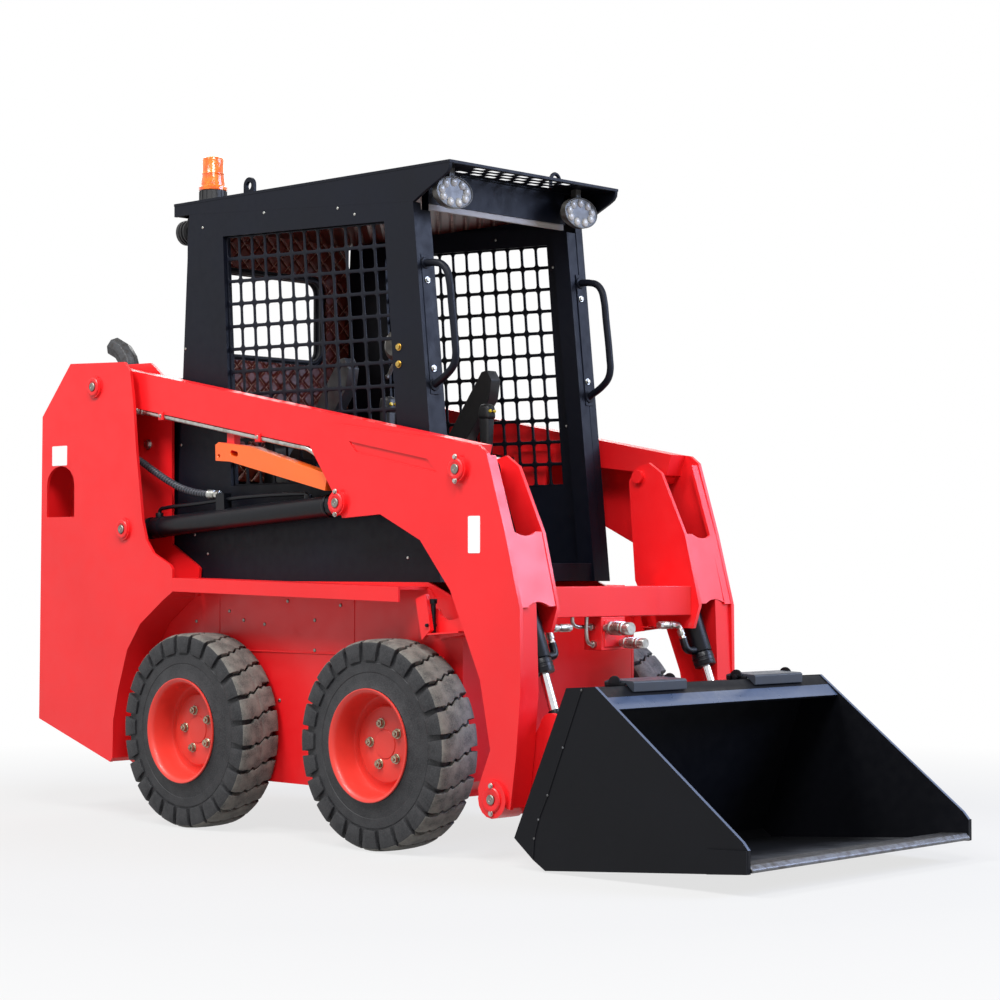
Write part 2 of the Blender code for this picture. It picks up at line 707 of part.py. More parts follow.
# the elbow's points past the straight pipe: backwards and up
EXHAUST_ELBOW = [(0.012, 0.030), (0.038, 0.058), (0.085, 0.078)]
DOOR_X = (-0.794, -0.754)
DOOR_Y = 0.343
DOOR_Z = (0.378, 1.280)
DOOR_SHEET = 0.010
DOOR_HINGE = (-0.7955, 0.3545)
DOOR_PIN_RADIUS = 0.005
DOOR_KNUCKLE_RADIUS = 0.0104
DOOR_KNUCKLE_HEIGHT = 0.060
DOOR_KNUCKLE_SIDES = 8
DOOR_KNUCKLE_Z = (0.480, 1.150)
DOOR_LUG_HEIGHT = 0.035


def arm_points(shares):
    """Points of the loader arm, from shares of its reach and drop."""
    return shares_to_outline(shares, ARM_PIVOT, ARM_SIZE)


def chassis_outline():
    """Outline of the tub's side plates."""
    return shares_to_outline(CHASSIS_SIDE_SHARES, (MACHINE_REAR_X, BELLY_Z), (CHASSIS_LENGTH, CHASSIS_HEIGHT))


def build_chassis(machine):
    """Welded tub: side plates, chain cases, belly, front plate, bumper and axle tubes."""
    outline = chassis_outline()
    inner = CHASSIS_SIDE_Y[0] + SKIN_OVERLAP
    front = (CHASSIS_FRONT_X, CHASSIS_FRONT_TOP_Z - INSET)
    belly = band([outline[0], outline[1], outline[2], outline[3], front], BELLY_THICKNESS, INSET)
    tub = prism("xz", belly, -inner, inner)
    bumper = box((MACHINE_REAR_X + REAR_INSET, MACHINE_REAR_X + REAR_INSET + REAR_BUMPER_THICKNESS),
                 (-inner - INSET, inner + INSET), REAR_BUMPER_Z)
    tub = unite(tub, bumper)
    for side in SIDES.values():
        tub = unite(tub, side_plate(side, outline, CHASSIS_SIDE_Y))
        case_y = sorted((side * CHAIN_CASE_Y, side * (inner + INSET)))
        tub = unite(tub, box(CHAIN_CASE_X, case_y, (BELLY_Z + BELLY_THICKNESS / 2, CHAIN_CASE_TOP_Z)))
        for x in (0, WHEELBASE):
            centre = (x, TYRE_RADIUS)
            axle = (side * (CHAIN_CASE_Y + OVERRUN), side * AXLE_TUBE_OUTER_Y)
            tub = unite(tub, cross_pin(centre, axle, AXLE_TUBE_RADIUS, PIN_SIDES))
            bore = bore_radius(AXLE_SHAFT_RADIUS, AXLE_SIDES)
            drilled = (side * AXLE_BORE_INNER_Y, side * (AXLE_TUBE_OUTER_Y + OVERRUN))
            tub = cut(tub, cross_pin(centre, drilled, bore, AXLE_SIDES))
    machine.keep(tub, "chassis", "frame", "red_paint")


def build_tower(machine, name, side):
    """Pressed tower: outer and inner plate, edge web, window, bosses and the two pivot pins."""
    shares = TOWER_REAR_SHARES + TOWER_ARCH_SHARES + TOWER_FRONT_SHARES
    outer = shares_to_outline(shares, TOWER_ORIGIN, TOWER_SIZE)
    inner = shares_to_outline(TOWER_INNER_SHARES, TOWER_ORIGIN, TOWER_SIZE)
    window = [(TOWER_WINDOW_X[0], TOWER_WINDOW_Z[0]), (TOWER_WINDOW_X[1], TOWER_WINDOW_Z[0]),
              (TOWER_WINDOW_X[1], TOWER_WINDOW_Z[1])]
    half = (TOWER_WINDOW_X[1] - TOWER_WINDOW_X[0]) / 2
    middle = (TOWER_WINDOW_X[0] + half, TOWER_WINDOW_Z[1])
    crown = [(x, middle[1] + (z - middle[1]) * TOWER_WINDOW_RISE / half)
             for x, z in arc(middle, half, 0, 180, 8)[1:]]
    tower = side_plate(side, [outer, window + crown], TOWER_OUTER_Y)
    path = shares_to_outline(TOWER_REAR_SHARES + TOWER_ARCH_SHARES, TOWER_ORIGIN, TOWER_SIZE)
    layer = (TOWER_INNER_Y[0] + INSET, TOWER_OUTER_Y[0] + SKIN_OVERLAP)
    tower = unite(tower, side_plate(side, band(path, TOWER_WEB_THICKNESS, INSET), layer))
    tower = unite(tower, side_plate(side, inner, TOWER_INNER_Y))
    proud = (TOWER_OUTER_Y[1] - SKIN_OVERLAP, TOWER_OUTER_Y[1] + TOWER_BOSS_PROUD)
    for centre in (ARM_PIVOT, LIFT_TOWER_PIN):
        tower = unite(tower, cross_pin(centre, (side * proud[0], side * proud[1]), TOWER_BOSS_RADIUS))
    pin = (side * (TOWER_INNER_Y[0] + SKIN_OVERLAP), side * (TOWER_OUTER_Y[1] - SKIN_OVERLAP / 2))
    tower = unite(tower, cross_pin(ARM_PIVOT, pin, PIN_RADIUS))
    if side == SIDES["left"]:
        tower = add_door_lugs(tower)
    machine.keep(tower, "tower_" + name, "frame", "red_paint")


def add_door_lugs(tower):
    """Lugs under the door's knuckles, each with the pin that the door turns on."""
    x, y = DOOR_HINGE
    for z in DOOR_KNUCKLE_Z:
        top = z - SEAM
        lug = rod((x, y, top - DOOR_LUG_HEIGHT), (x, y, top), DOOR_KNUCKLE_RADIUS, DOOR_KNUCKLE_SIDES)
        leaf = box((x - DOOR_KNUCKLE_RADIUS / 2, x + DOOR_KNUCKLE_RADIUS - INSET),
                   (y, TOWER_INNER_Y[0] + OVERRUN / 2), (top - DOOR_LUG_HEIGHT + INSET, top - INSET))
        pin = rod((x, y, top - OVERRUN), (x, y, z + DOOR_KNUCKLE_HEIGHT), DOOR_PIN_RADIUS,
                  DOOR_KNUCKLE_SIDES)
        tower = unite(tower, unite(lug, leaf, pin))
    return tower


def build_fender(machine, name, side):
    """Shelf over the wheels with a folded lip, and the folded bracket before it."""
    rear = TOWER_FRONT_X + SEAM

    def strip(drop_top, drop_low):
        return [(rear, FENDER_REAR_Z - drop_low), (FENDER_FRONT_X, FENDER_FRONT_Z - drop_low),
                (FENDER_FRONT_X, FENDER_FRONT_Z - drop_top), (rear, FENDER_REAR_Z - drop_top)]

    fender = side_plate(side, strip(0, FENDER_THICKNESS), (FENDER_INNER_Y, FENDER_LIP_Y[1]))
    lip = side_plate(side, strip(FENDER_THICKNESS / 2, FENDER_LIP_HEIGHT), FENDER_LIP_Y)
    fender = unite(fender, lip)
    path = shares_to_outline(STOP_FLOOR_SHARES, STOP_ORIGIN, STOP_SIZE)
    layer = (STOP_BACK_Y[0] + INSET, STOP_OUTER_Y[1] - INSET)
    bracket = side_plate(side, band(path, STOP_FLOOR), layer)
    for shares, layer in ((STOP_BACK_SHARES, STOP_BACK_Y), (STOP_OUTER_SHARES, STOP_OUTER_Y),
                          (STOP_SCOOP_SHARES, STOP_SCOOP_Y)):
        outline = shares_to_outline(shares, STOP_ORIGIN, STOP_SIZE)
        bracket = unite(bracket, side_plate(side, outline, layer))
    fender = unite(fender, bracket)
    machine.keep(fender, "fender_" + name, "frame", "red_paint")


def groove_cutters(centre, side):
    """Cutters of the gaps between the tread's blocks, in two rows half a pitch apart."""
    bm = bmesh.new()
    middle = side * (TYRE_OUTER_Y + TYRE_INNER_Y) / 2
    reach = (TYRE_OUTER_Y - TYRE_INNER_Y) / 2 + OVERRUN
    pitch = math.tau / BLOCK_COUNT
    size = (TYRE_RADIUS * pitch * BLOCK_GAP_SHARE, reach, GROOVE_DEPTH + OVERRUN)
    for number in range(2 * BLOCK_COUNT):
        way = side if number % 2 == 0 else -side
        wheel = Matrix.Translation((centre[0], middle, centre[1]))
        turn = Matrix.Rotation((number + 1) * pitch / 2, 4, "Y")
        seat = Matrix.Translation((0, way * reach / 2, TYRE_RADIUS + (OVERRUN - GROOVE_DEPTH) / 2))
        bmesh.ops.create_cube(bm, size=1, matrix=wheel @ turn @ seat @ Matrix.Diagonal((*size, 1)))
    return from_bmesh("grooves", bm)


def build_tyre(centre, side):
    """Solid tyre with two rows of blocks, half a pitch apart."""
    pitch = math.tau / BLOCK_COUNT
    # one flat of the tread lies on the ground
    corner = TYRE_RADIUS / math.cos(pitch / 2)
    tread = [polar(centre, corner, (number + 1 / 2) * pitch - math.pi / 2) for number in range(BLOCK_COUNT)]
    seat = [polar(centre, RIM_SEAT_RADIUS + SEAM, math.tau * i / WHEEL_STEPS) for i in range(WHEEL_STEPS)]
    tyre = side_plate(side, [tread, seat], (TYRE_INNER_Y, TYRE_OUTER_Y))
    return cut(tyre, groove_cutters(centre, side))


def build_wheel(machine, place, side_name, side, x):
    """Turned rim, disc, hub and axle shaft in one, and the tyre on it."""
    body = "wheel_" + place + "_" + side_name
    machine.add_empty(body, "frame", (x, 0, TYRE_RADIUS))
    centre = (x, TYRE_RADIUS)
    inner_rim = RIM_SEAT_RADIUS - RIM_SHEET
    profile = [
        (0, HUB_OUTER_Y), (HUB_RADIUS, HUB_OUTER_Y), (HUB_RADIUS, DISC_Y), (DISC_RING_RADIUS, DISC_Y),
        (inner_rim, DISC_Y - DISC_DISH), (inner_rim, RIM_OUTER_Y - RIM_SHEET),
        (RIM_FLANGE_RADIUS - RIM_SHEET / 2, RIM_OUTER_Y), (RIM_FLANGE_RADIUS, RIM_OUTER_Y - RIM_SHEET),
        (RIM_SEAT_RADIUS, RIM_OUTER_Y - RIM_SHEET),
        (RIM_SEAT_RADIUS, RIM_INNER_Y), (inner_rim, RIM_INNER_Y),
        (inner_rim, DISC_Y - DISC_DISH - DISC_THICKNESS), (HUB_FLANGE_RADIUS, DISC_Y - DISC_THICKNESS),
        (HUB_FLANGE_RADIUS, HUB_FLANGE_Y), (AXLE_SHAFT_RADIUS, HUB_FLANGE_Y),
        (AXLE_SHAFT_RADIUS, AXLE_SHAFT_INNER_Y), (0, AXLE_SHAFT_INNER_Y),
    ]
    wheel = turned(profile, centre, side, WHEEL_STEPS)
    machine.keep(wheel, "rim_" + place + "_" + side_name, body, "rim_paint", SMOOTH_ANGLE)

    tyre = build_tyre(centre, side)
    machine.keep(tyre, "tyre_" + place + "_" + side_name, body, "tyre_rubber")


def knee_cover(side):
    """Cover over the front of the knee, hollowed at both ends where the tilt cylinder passes."""
    path = [Vector(point) for point in arm_points(KNEE_COVER_SHARES)]
    layer = (KNEE_INNER_Y[1] - SKIN_OVERLAP, ARM_PLATE_Y[0] + SKIN_OVERLAP)
    cover = side_plate(side, band(path, -KNEE_COVER_THICKNESS), layer)
    way = (path[1] - path[0]).normalized()
    through = Vector((way.y, -way.x)) * OVERRUN
    y = side * (KNEE_INNER_Y[1] + ARM_PLATE_Y[0]) / 2
    for end, out in ((path[0], -way), (path[1], way)):
        middle = end + out * (SCALLOP_RADIUS - SCALLOP_DEPTH)
        low, high = middle - through, middle + through
        cover = cut(cover, rod((low.x, y, low.y), (high.x, y, high.y), SCALLOP_RADIUS, 2 * PIN_SIDES))
    return cover


def build_arm(machine, name, side):
    """Loader arm: box beam, knee plates with a scalloped front cover, box leg and bosses."""
    arm = side_plate(side, arm_points(BEAM_SHARES), (ARM_BOX_INNER_Y, ARM_BEAM_OUTER_Y))
    leg = (ARM_BOX_INNER_Y, ARM_PLATE_Y[0] + SKIN_OVERLAP)
    arm = unite(arm, side_plate(side, arm_points(LEG_BOX_SHARES), leg))
    knee = arm_points(KNEE_PLATE_REAR_SHARES + ARM_TOP_SHARES + ARM_LEG_FRONT_SHARES + ARM_LEG_REAR_SHARES
                      + ARM_KNEE_SHARES)
    plate = side_plate(side, knee, ARM_PLATE_Y)
    pocket = (ARM_PLATE_Y[1] - POCKET_DEPTH, ARM_PLATE_Y[1] + OVERRUN)
    arm = unite(arm, cut(plate, side_plate(side, arm_points(POCKET_SHARES), pocket)))
    arm = unite(arm, side_plate(side, arm_points(KNEE_INNER_SHARES), KNEE_INNER_Y))
    arm = unite(arm, knee_cover(side))
    flange = band(arm_points(KNEE_FLANGE_SHARES), -KNEE_FLANGE_THICKNESS)
    arm = unite(arm, side_plate(side, flange, KNEE_FLANGE_Y))
    lug = [(CYLINDER_LUG_X[0], CYLINDER_LUG_TOP_Z), *arc(LIFT_ARM_PIN, CYLINDER_LUG_RADIUS, 215, 350, 6),
           (CYLINDER_LUG_X[1], CYLINDER_LUG_TOP_Z)]
    arm = unite(arm, side_plate(side, lug, CYLINDER_LUG_Y))
    pivot_boss = (side * PIVOT_BOSS_Y[0], side * PIVOT_BOSS_Y[1])
    arm = unite(arm, cross_pin(ARM_PIVOT, pivot_boss, PIVOT_BOSS_RADIUS, BOSS_SIDES))
    tip_boss = (side * TIP_BOSS_Y[0], side * TIP_BOSS_Y[1])
    arm = unite(arm, cross_pin(BUCKET_PIVOT, tip_boss, TIP_BOSS_RADIUS, BOSS_SIDES))
    for centre in (LIFT_ARM_PIN, TILT_ARM_PIN):
        proud = (side * (ARM_PLATE_Y[1] - SKIN_OVERLAP), side * (ARM_PLATE_Y[1] + ARM_BOSS_PROUD))
        arm = unite(arm, cross_pin(centre, proud, ARM_BOSS_RADIUS))
    pin_end = ARM_PLATE_Y[1] - INSET
    for centre, pin_start in ((LIFT_ARM_PIN, CYLINDER_LUG_Y[0] + INSET),
                              (TILT_ARM_PIN, KNEE_INNER_Y[0] - ARM_BOSS_PROUD),
                              (BUCKET_PIVOT, COUPLER_EAR_INNER_Y[0] - SKIN_OVERLAP)):
        arm = unite(arm, cross_pin(centre, (side * pin_start, side * pin_end), PIN_RADIUS))
    drilled = (side * (PIVOT_BOSS_Y[0] - OVERRUN), side * (PIVOT_BOSS_Y[1] + OVERRUN))
    arm = cut(arm, cross_pin(ARM_PIVOT, drilled, bore_radius(PIN_RADIUS, PIN_SIDES)))
    machine.keep(arm, "arm_" + name, "loader_arms", "red_paint")


def cylinder_frame(start, end):
    """Unit vector from one pivot to another, and their distance, in the x-z plane."""
    along = Vector(end) - Vector(start)
    return along.normalized(), along.length


def point_on(start, way, distance, y):
    """Point at a distance along a cylinder's axis."""
    return (start[0] + way.x * distance, y, start[1] + way.y * distance)


def build_cylinder(machine, name, side, kind):
    """Barrel with its eye and gland, and the chromed rod with its own eye and pin."""
    lift = kind == "lift"
    start, end = (LIFT_ARM_PIN, LIFT_TOWER_PIN) if lift else (TILT_ARM_PIN, TILT_COUPLER_PIN)
    y = side * (LIFT_CYLINDER_Y if lift else TILT_CYLINDER_Y)
    barrel_radius, rod_radius, head, gland_radius, gland, shown = (
        (LIFT_BARREL_RADIUS, LIFT_ROD_RADIUS, LIFT_BARREL_HEAD, LIFT_GLAND_RADIUS, LIFT_GLAND_LENGTH,
         LIFT_ROD_SHOWN) if lift else
        (TILT_BARREL_RADIUS, TILT_ROD_RADIUS, TILT_BARREL_HEAD, TILT_GLAND_RADIUS, TILT_GLAND_LENGTH,
         TILT_ROD_SHOWN))
    eye, half = (EYE_RADIUS, EYE_HALF_WIDTH) if lift else (TILT_CLEVIS_RADIUS, TILT_CLEVIS_HALF_WIDTH)
    eye_radius, eye_half = (EYE_RADIUS, EYE_HALF_WIDTH) if lift else (TILT_EYE_RADIUS, TILT_EYE_HALF_WIDTH)
    way, reach = cylinder_frame(start, end)
    length = reach - eye_radius - shown
    body = kind + "_barrel_" + name
    machine.add_empty(body, "loader_arms", (start[0], y, start[1]))
    machine.add_empty(kind + "_rod_" + name, body, point_on(start, way, reach, y))

    bore = rod_radius + ROD_CLEARANCE
    neck = half * EYE_NECK_SHARE
    floor = head + OVERRUN
    slack = LIFT_ROD_SLACK if lift else TILT_ROD_SLACK
    barrel = lathe([(0, floor), (bore, floor), (bore, length), (gland_radius, length), (gland_radius, length - gland),
                    (barrel_radius, length - gland), (barrel_radius, head), (neck, head), (neck, 0), (0, 0)],
                   start, way, y, CYLINDER_STEPS)
    barrel = unite(barrel, cross_pin(start, (y - half, y + half), eye, PIN_SIDES))
    hole = bore_radius(PIN_RADIUS, PIN_SIDES)
    barrel = cut(barrel, cross_pin(start, (y - half - OVERRUN, y + half + OVERRUN), hole))
    if lift:
        spot = point_on(start, way, PORT_BLOCK_SHARE * length, y)
        low = barrel_radius - SKIN_OVERLAP
        block = box(*[(-size / 2, size / 2) for size in PORT_BLOCK_SIZE])
        block.data.transform(Matrix.Translation((0, 0, low + PORT_BLOCK_SIZE[2] / 2)))
        block.rotation_euler = (0, math.atan2(way.y, -way.x), 0)
        block.location = spot
        bpy.context.view_layer.update()
        barrel = unite(barrel, baked(block))
    machine.keep(barrel, kind + "_barrel_" + name, body, "black_paint", SMOOTH_ANGLE)

    shaft = lathe([(0, floor + slack), (rod_radius, floor + slack), (rod_radius, reach), (0, reach)],
                  start, way, y, CYLINDER_STEPS)
    shaft = unite(shaft, cross_pin(end, (y - eye_half, y + eye_half), eye_radius, PIN_SIDES))
    machine.keep(shaft, kind + "_rod_" + name, kind + "_rod_" + name, "chrome", SMOOTH_ANGLE)


def build_cross_beam(machine):
    """Beam between the arms, with its ends kinked forward."""
    end_y = KNEE_INNER_Y[0] - SEAM
    kink_y = CROSS_BEAM_KINK_Y
    outline = [(CROSS_BEAM_REAR_X, -end_y), (CROSS_BEAM_END_X, -end_y), (CROSS_BEAM_FRONT_X, -kink_y),
               (CROSS_BEAM_FRONT_X, kink_y), (CROSS_BEAM_END_X, end_y), (CROSS_BEAM_REAR_X, end_y)]
    machine.keep(prism("xy", outline, *CROSS_BEAM_Z), "arm_cross_beam", "loader_arms", "red_paint")


def build_coupler_block(machine):
    """Manifold under the cross beam with two quick couplings that face forward."""
    block = box(BLOCK_X, BLOCK_Y, BLOCK_Z)
    for u, v in QUICK_COUPLER_PLACE_SHARES:
        y = BLOCK_Y[0] + u * (BLOCK_Y[1] - BLOCK_Y[0])
        z = BLOCK_Z[0] + v * (BLOCK_Z[1] - BLOCK_Z[0])
        start = (BLOCK_X[1] - SKIN_OVERLAP, y, z)
        block = unite(block, rod(start, (BLOCK_X[1] + QUICK_COUPLER_LENGTH, y, z), QUICK_COUPLER_RADIUS))
    machine.keep(block, "hydraulic_block", "loader_arms", "bare_steel", SMOOTH_ANGLE)


def beam_lower_edge(share):
    """Point on the lower edge of the arm's beam, at a share of its length."""
    start, end = arm_points([BEAM_SHARES[-1], BEAM_SHARES[-2]])
    return (start[0] + share * (end[0] - start[0]), start[1] + share * (end[1] - start[1]))


def build_arm_fittings(machine, name, side):
    """Steel pipe clipped under the beam."""
    drop = PIPE_RADIUS + SEAM
    points = [(*beam_lower_edge(PIPE_REAR_SHARE),), (*beam_lower_edge(1 - PIPE_REAR_SHARE / 2),)]
    line = [(x, side * (ARM_BEAM_OUTER_Y - PIPE_RADIUS), z - drop) for x, z in points]
    machine.keep(tube(line, PIPE_RADIUS), "arm_pipe_" + name, "loader_arms", "bare_steel", SMOOTH_ANGLE)


def strut_slot():
    """Round-ended slot along the strut, for its pin."""
    start, end = [Vector(point) for point in arm_points(STRUT_SHARES[2:4])]
    way = (end - start).normalized()
    across = Vector((-way.y, way.x))
    middle = Vector(arm_points([STRUT_SLOT_SHARES])[0])
    half_length, half_width = [size / 2 for size in STRUT_SLOT_SIZE]
    corners = [(-1, -1), (1, -1), (1, 1), (-1, 1)]
    return rounded([middle + way * u * half_length + across * v * half_width for u, v in corners],
                   half_width - INSET)


def build_strut(machine):
    """Orange safety strut, stowed under the right arm's beam on its hanger."""
    side = SIDES["right"]
    hole = arc(arm_points([STRUT_HOLE_SHARES])[0], STRUT_HOLE_RADIUS, 0, 315, 7)
    strut = side_plate(side, [arm_points(STRUT_SHARES), strut_slot(), hole], STRUT_Y)
    middle = (STRUT_Y[0] + STRUT_Y[1]) / 2
    share = (STRUT_HANGER_X[0] - ARM_PIVOT[0]) / (beam_lower_edge(1)[0] - ARM_PIVOT[0])
    top = beam_lower_edge(share)[1] - HANGER_GAP
    hanger_y = sorted((side * (middle - HANGER_HALF_WIDTH), side * (middle + HANGER_HALF_WIDTH)))
    strut = unite(strut, box(STRUT_HANGER_X, hanger_y, (top - HANGER_DROP, top)))
    machine.keep(strut, "safety_strut", "loader_arms", "orange_paint")


def bucket_points(shares):
    """Points of the bucket's section, from shares of its depth and height."""
    return shares_to_outline(shares, (BUCKET_HEEL_X, BUCKET_HEEL_Z), (BUCKET_DEPTH, BUCKET_HEIGHT))


def build_coupler(machine):
    """Quick coupler: mounting plates, ears round the bucket pivot and the tilt rods, and a tie bar."""
    low, high = bucket_points([BUCKET_SIDE_SHARES[0], BUCKET_SIDE_SHARES[-1]])
    way = (Vector(high) - Vector(low)).normalized()
    away = Vector((-way.y, way.x))
    start = Vector(low) + away * (SEAM - INSET) + way * COUPLER_FOOT
    end = Vector(high) + away * (SEAM - INSET) - way * COUPLER_HEAD
    bar_low = band([tuple(start), tuple(start + way * COUPLER_BAR)], COUPLER_PLATE_THICKNESS)
    bar_high = band([tuple(end - way * COUPLER_BAR), tuple(end)], COUPLER_PLATE_THICKNESS)
    width = COUPLER_EAR_OUTER_Y[1]
    coupler = prism("xz", bar_low, -width + INSET, width - INSET)
    upper = prism("xz", bar_high, -width + INSET, width - INSET)
    pivot, pin = Vector(BUCKET_PIVOT), Vector(TILT_COUPLER_PIN)
    back = start + away * COUPLER_PLATE_THICKNESS / 2 + way * SKIN_OVERLAP
    top = end + away * COUPLER_PLATE_THICKNESS / 2 - way * SKIN_OVERLAP
    ear = [tuple(back), tuple(top)]
    ear += arc(tuple(pin), EAR_RADIUS, 60, 170, 5)
    ear += arc(tuple(pivot), EAR_RADIUS, 170, 290, 5)
    pieces = []
    for side in SIDES.values():
        for layer in (COUPLER_EAR_INNER_Y, COUPLER_EAR_OUTER_Y):
            pieces.append(side_plate(side, ear, layer))
    coupler = unite(coupler, pieces[0], pieces[1], pieces[2], pieces[3], upper)
    for side in SIDES.values():
        hole = (side * (COUPLER_EAR_INNER_Y[0] - OVERRUN), side * (COUPLER_EAR_OUTER_Y[1] + OVERRUN))
        coupler = cut(coupler, cross_pin(BUCKET_PIVOT, hole, bore_radius(PIN_RADIUS, PIN_SIDES)))
    machine.keep(coupler, "quick_coupler", "bucket", "red_paint")


def build_bucket(machine):
    """Bucket: bent shell, side plates, rear gussets, cutting edge and latch covers."""
    shell = band(bucket_points(BUCKET_SHELL_SHARES), BUCKET_SHEET, INSET)
    width = BUCKET_SIDE_Y[0] + SKIN_OVERLAP
    bucket = prism("xz", shell, -width, width)
    frame = band(bucket_points(BUCKET_MOUNT_SHARES), BUCKET_SHEET, INSET)
    frame = prism("xz", frame, -width + INSET, width - INSET)
    z_low, z_high = [bucket_points([(0, share)])[0][1] for share in MOUNT_WINDOW_SHARES]
    for y_low, y_high in MOUNT_WINDOW_Y:
        frame = cut(frame, box((BUCKET_HEEL_X - OVERRUN, BUCKET_EDGE_X), (y_low, y_high), (z_low, z_high)))
    bucket = unite(bucket, frame)
    wear = (BUCKET_SIDE_Y[1] - SKIN_OVERLAP, BUCKET_SIDE_Y[1] + WEAR_PLATE_THICKNESS)
    for side in SIDES.values():
        bucket = unite(bucket, side_plate(side, bucket_points(BUCKET_SIDE_SHARES), BUCKET_SIDE_Y),
                       side_plate(side, bucket_points(WEAR_PLATE_SHARES), wear))
    machine.keep(bucket, "bucket", "bucket", "bucket_paint")
    edge = prism("xz", bucket_points(EDGE_SHARES), -BUCKET_SIDE_Y[0] + SEAM, BUCKET_SIDE_Y[0] - SEAM)
    machine.keep(edge, "cutting_edge", "bucket", "worn_edge_steel")
    for name, side in SIDES.items():
        outline = [(x, z + SEAM - INSET) for x, z in bucket_points(LATCH_COVER_SHARES)]
        low, high = LATCH_COVER_Y
        cover = side_plate(side, outline, (low + INSET, high - INSET))
        ear = arc(bucket_points([LATCH_EAR_PLACE_SHARES])[0], LATCH_EAR_RADIUS, 0, 180, 5)
        for layer in ((low, low + LATCH_EAR_THICKNESS), (high - LATCH_EAR_THICKNESS, high)):
            cover = unite(cover, side_plate(side, ear, layer))
        machine.keep(cover, "latch_cover_" + name, "bucket", "bucket_paint")


def pillar_front(z):
    """Front face of the cab's pillars at a height."""
    share = (z - CAB_BASE_Z) / (CAB_FRONT_TOP_Z - CAB_BASE_Z)
    return CAB_FRONT_FOOT_X + share * (CAB_FRONT_TOP_X - CAB_FRONT_FOOT_X)


def build_cab_side(machine, name, side):
    """Side wall with its mesh opening and the front pillar folded inwards."""
    foot, top = (CAB_FRONT_FOOT_X, CAB_BASE_Z), (CAB_FRONT_TOP_X, CAB_FRONT_TOP_Z - SEAM)
    outline = [(CAB_REAR_X, CAB_BASE_Z), foot, top, (CAB_REAR_TOP_X, CAB_REAR_TOP_Z - SEAM)]
    wall = side_plate(side, [outline, MESH_CORNERS], CAB_SIDE_Y)
    pillar = [(foot[0] - PILLAR_LENGTH, foot[1] + WELD), (foot[0] - WELD, foot[1] + WELD),
              (top[0] - WELD, top[1] - OVERRUN), (top[0] - PILLAR_LENGTH, top[1] - OVERRUN)]
    wall = unite(wall, side_plate(side, pillar, (CAB_SIDE_Y[1] - PILLAR_DEPTH, CAB_SIDE_Y[0] + SKIN_OVERLAP)))
    machine.keep(wall, "cab_side_" + name, "frame", "black_paint")
    build_mesh(machine, name, side)


def build_mesh(machine, name, side):
    """Flat grille that fills the wall's opening, cut from one sheet."""
    middle = Vector((0, 0))
    for corner in MESH_CORNERS:
        middle += Vector(corner) / len(MESH_CORNERS)
    edge = [tuple(Vector(c) + (middle - Vector(c)).normalized() * MESH_SEAT) for c in MESH_CORNERS]
    front_top, front_low, rear_low, rear_top = [Vector(c) for c in edge]
    holes = []
    for row in range(MESH_ROWS):
        for column in range(MESH_COLUMNS):
            cell = []
            for du, dv in ((0, 0), (1, 0), (1, 1), (0, 1)):
                u = (column + du) / MESH_COLUMNS
                v = (row + dv) / MESH_ROWS
                low = rear_low.lerp(front_low, u)
                high = rear_top.lerp(front_top, u)
                cell.append(low.lerp(high, v))
            centre = sum(cell, Vector((0, 0))) / 4
            bar = MESH_BAR / 2
            holes.append([tuple(p + Vector((bar if p.x < centre.x else -bar, bar if p.y < centre.y else -bar)))
                          for p in cell])
    middle_y = (CAB_SIDE_Y[0] + CAB_SIDE_Y[1]) / 2
    mesh = side_plate(side, [edge] + holes, (middle_y - MESH_THICKNESS / 2, middle_y + MESH_THICKNESS / 2))
    machine.keep(mesh, "side_mesh_" + name, "frame", "black_paint")


def visor_slots():
    """Cutters for the staggered rows of slots in the roof's front edge."""
    slots = []
    for row in range(VISOR_ROWS):
        x = CAB_FRONT_TOP_X + ROOF_OVERHANG / 2 + (row - (VISOR_ROWS - 1) / 2) * VISOR_PITCH[0]
        for column in range(VISOR_COLUMNS - row % 2):
            y = (column - (VISOR_COLUMNS - 1 - row % 2) / 2) * VISOR_PITCH[1]
            slots.append(box((x - VISOR_SLOT[0] / 2, x + VISOR_SLOT[0] / 2),
                             (y - VISOR_SLOT[1] / 2, y + VISOR_SLOT[1] / 2),
                             (ROOF_FRONT_Z - OVERRUN, ROOF_REAR_Z + OVERRUN)))
    return slots


def roof_top(x):
    """Height of the roof sheet's upper face."""
    share = (x - ROOF_REAR_X) / (ROOF_FRONT_X - ROOF_REAR_X)
    return ROOF_REAR_Z + share * (ROOF_FRONT_Z - ROOF_REAR_Z)


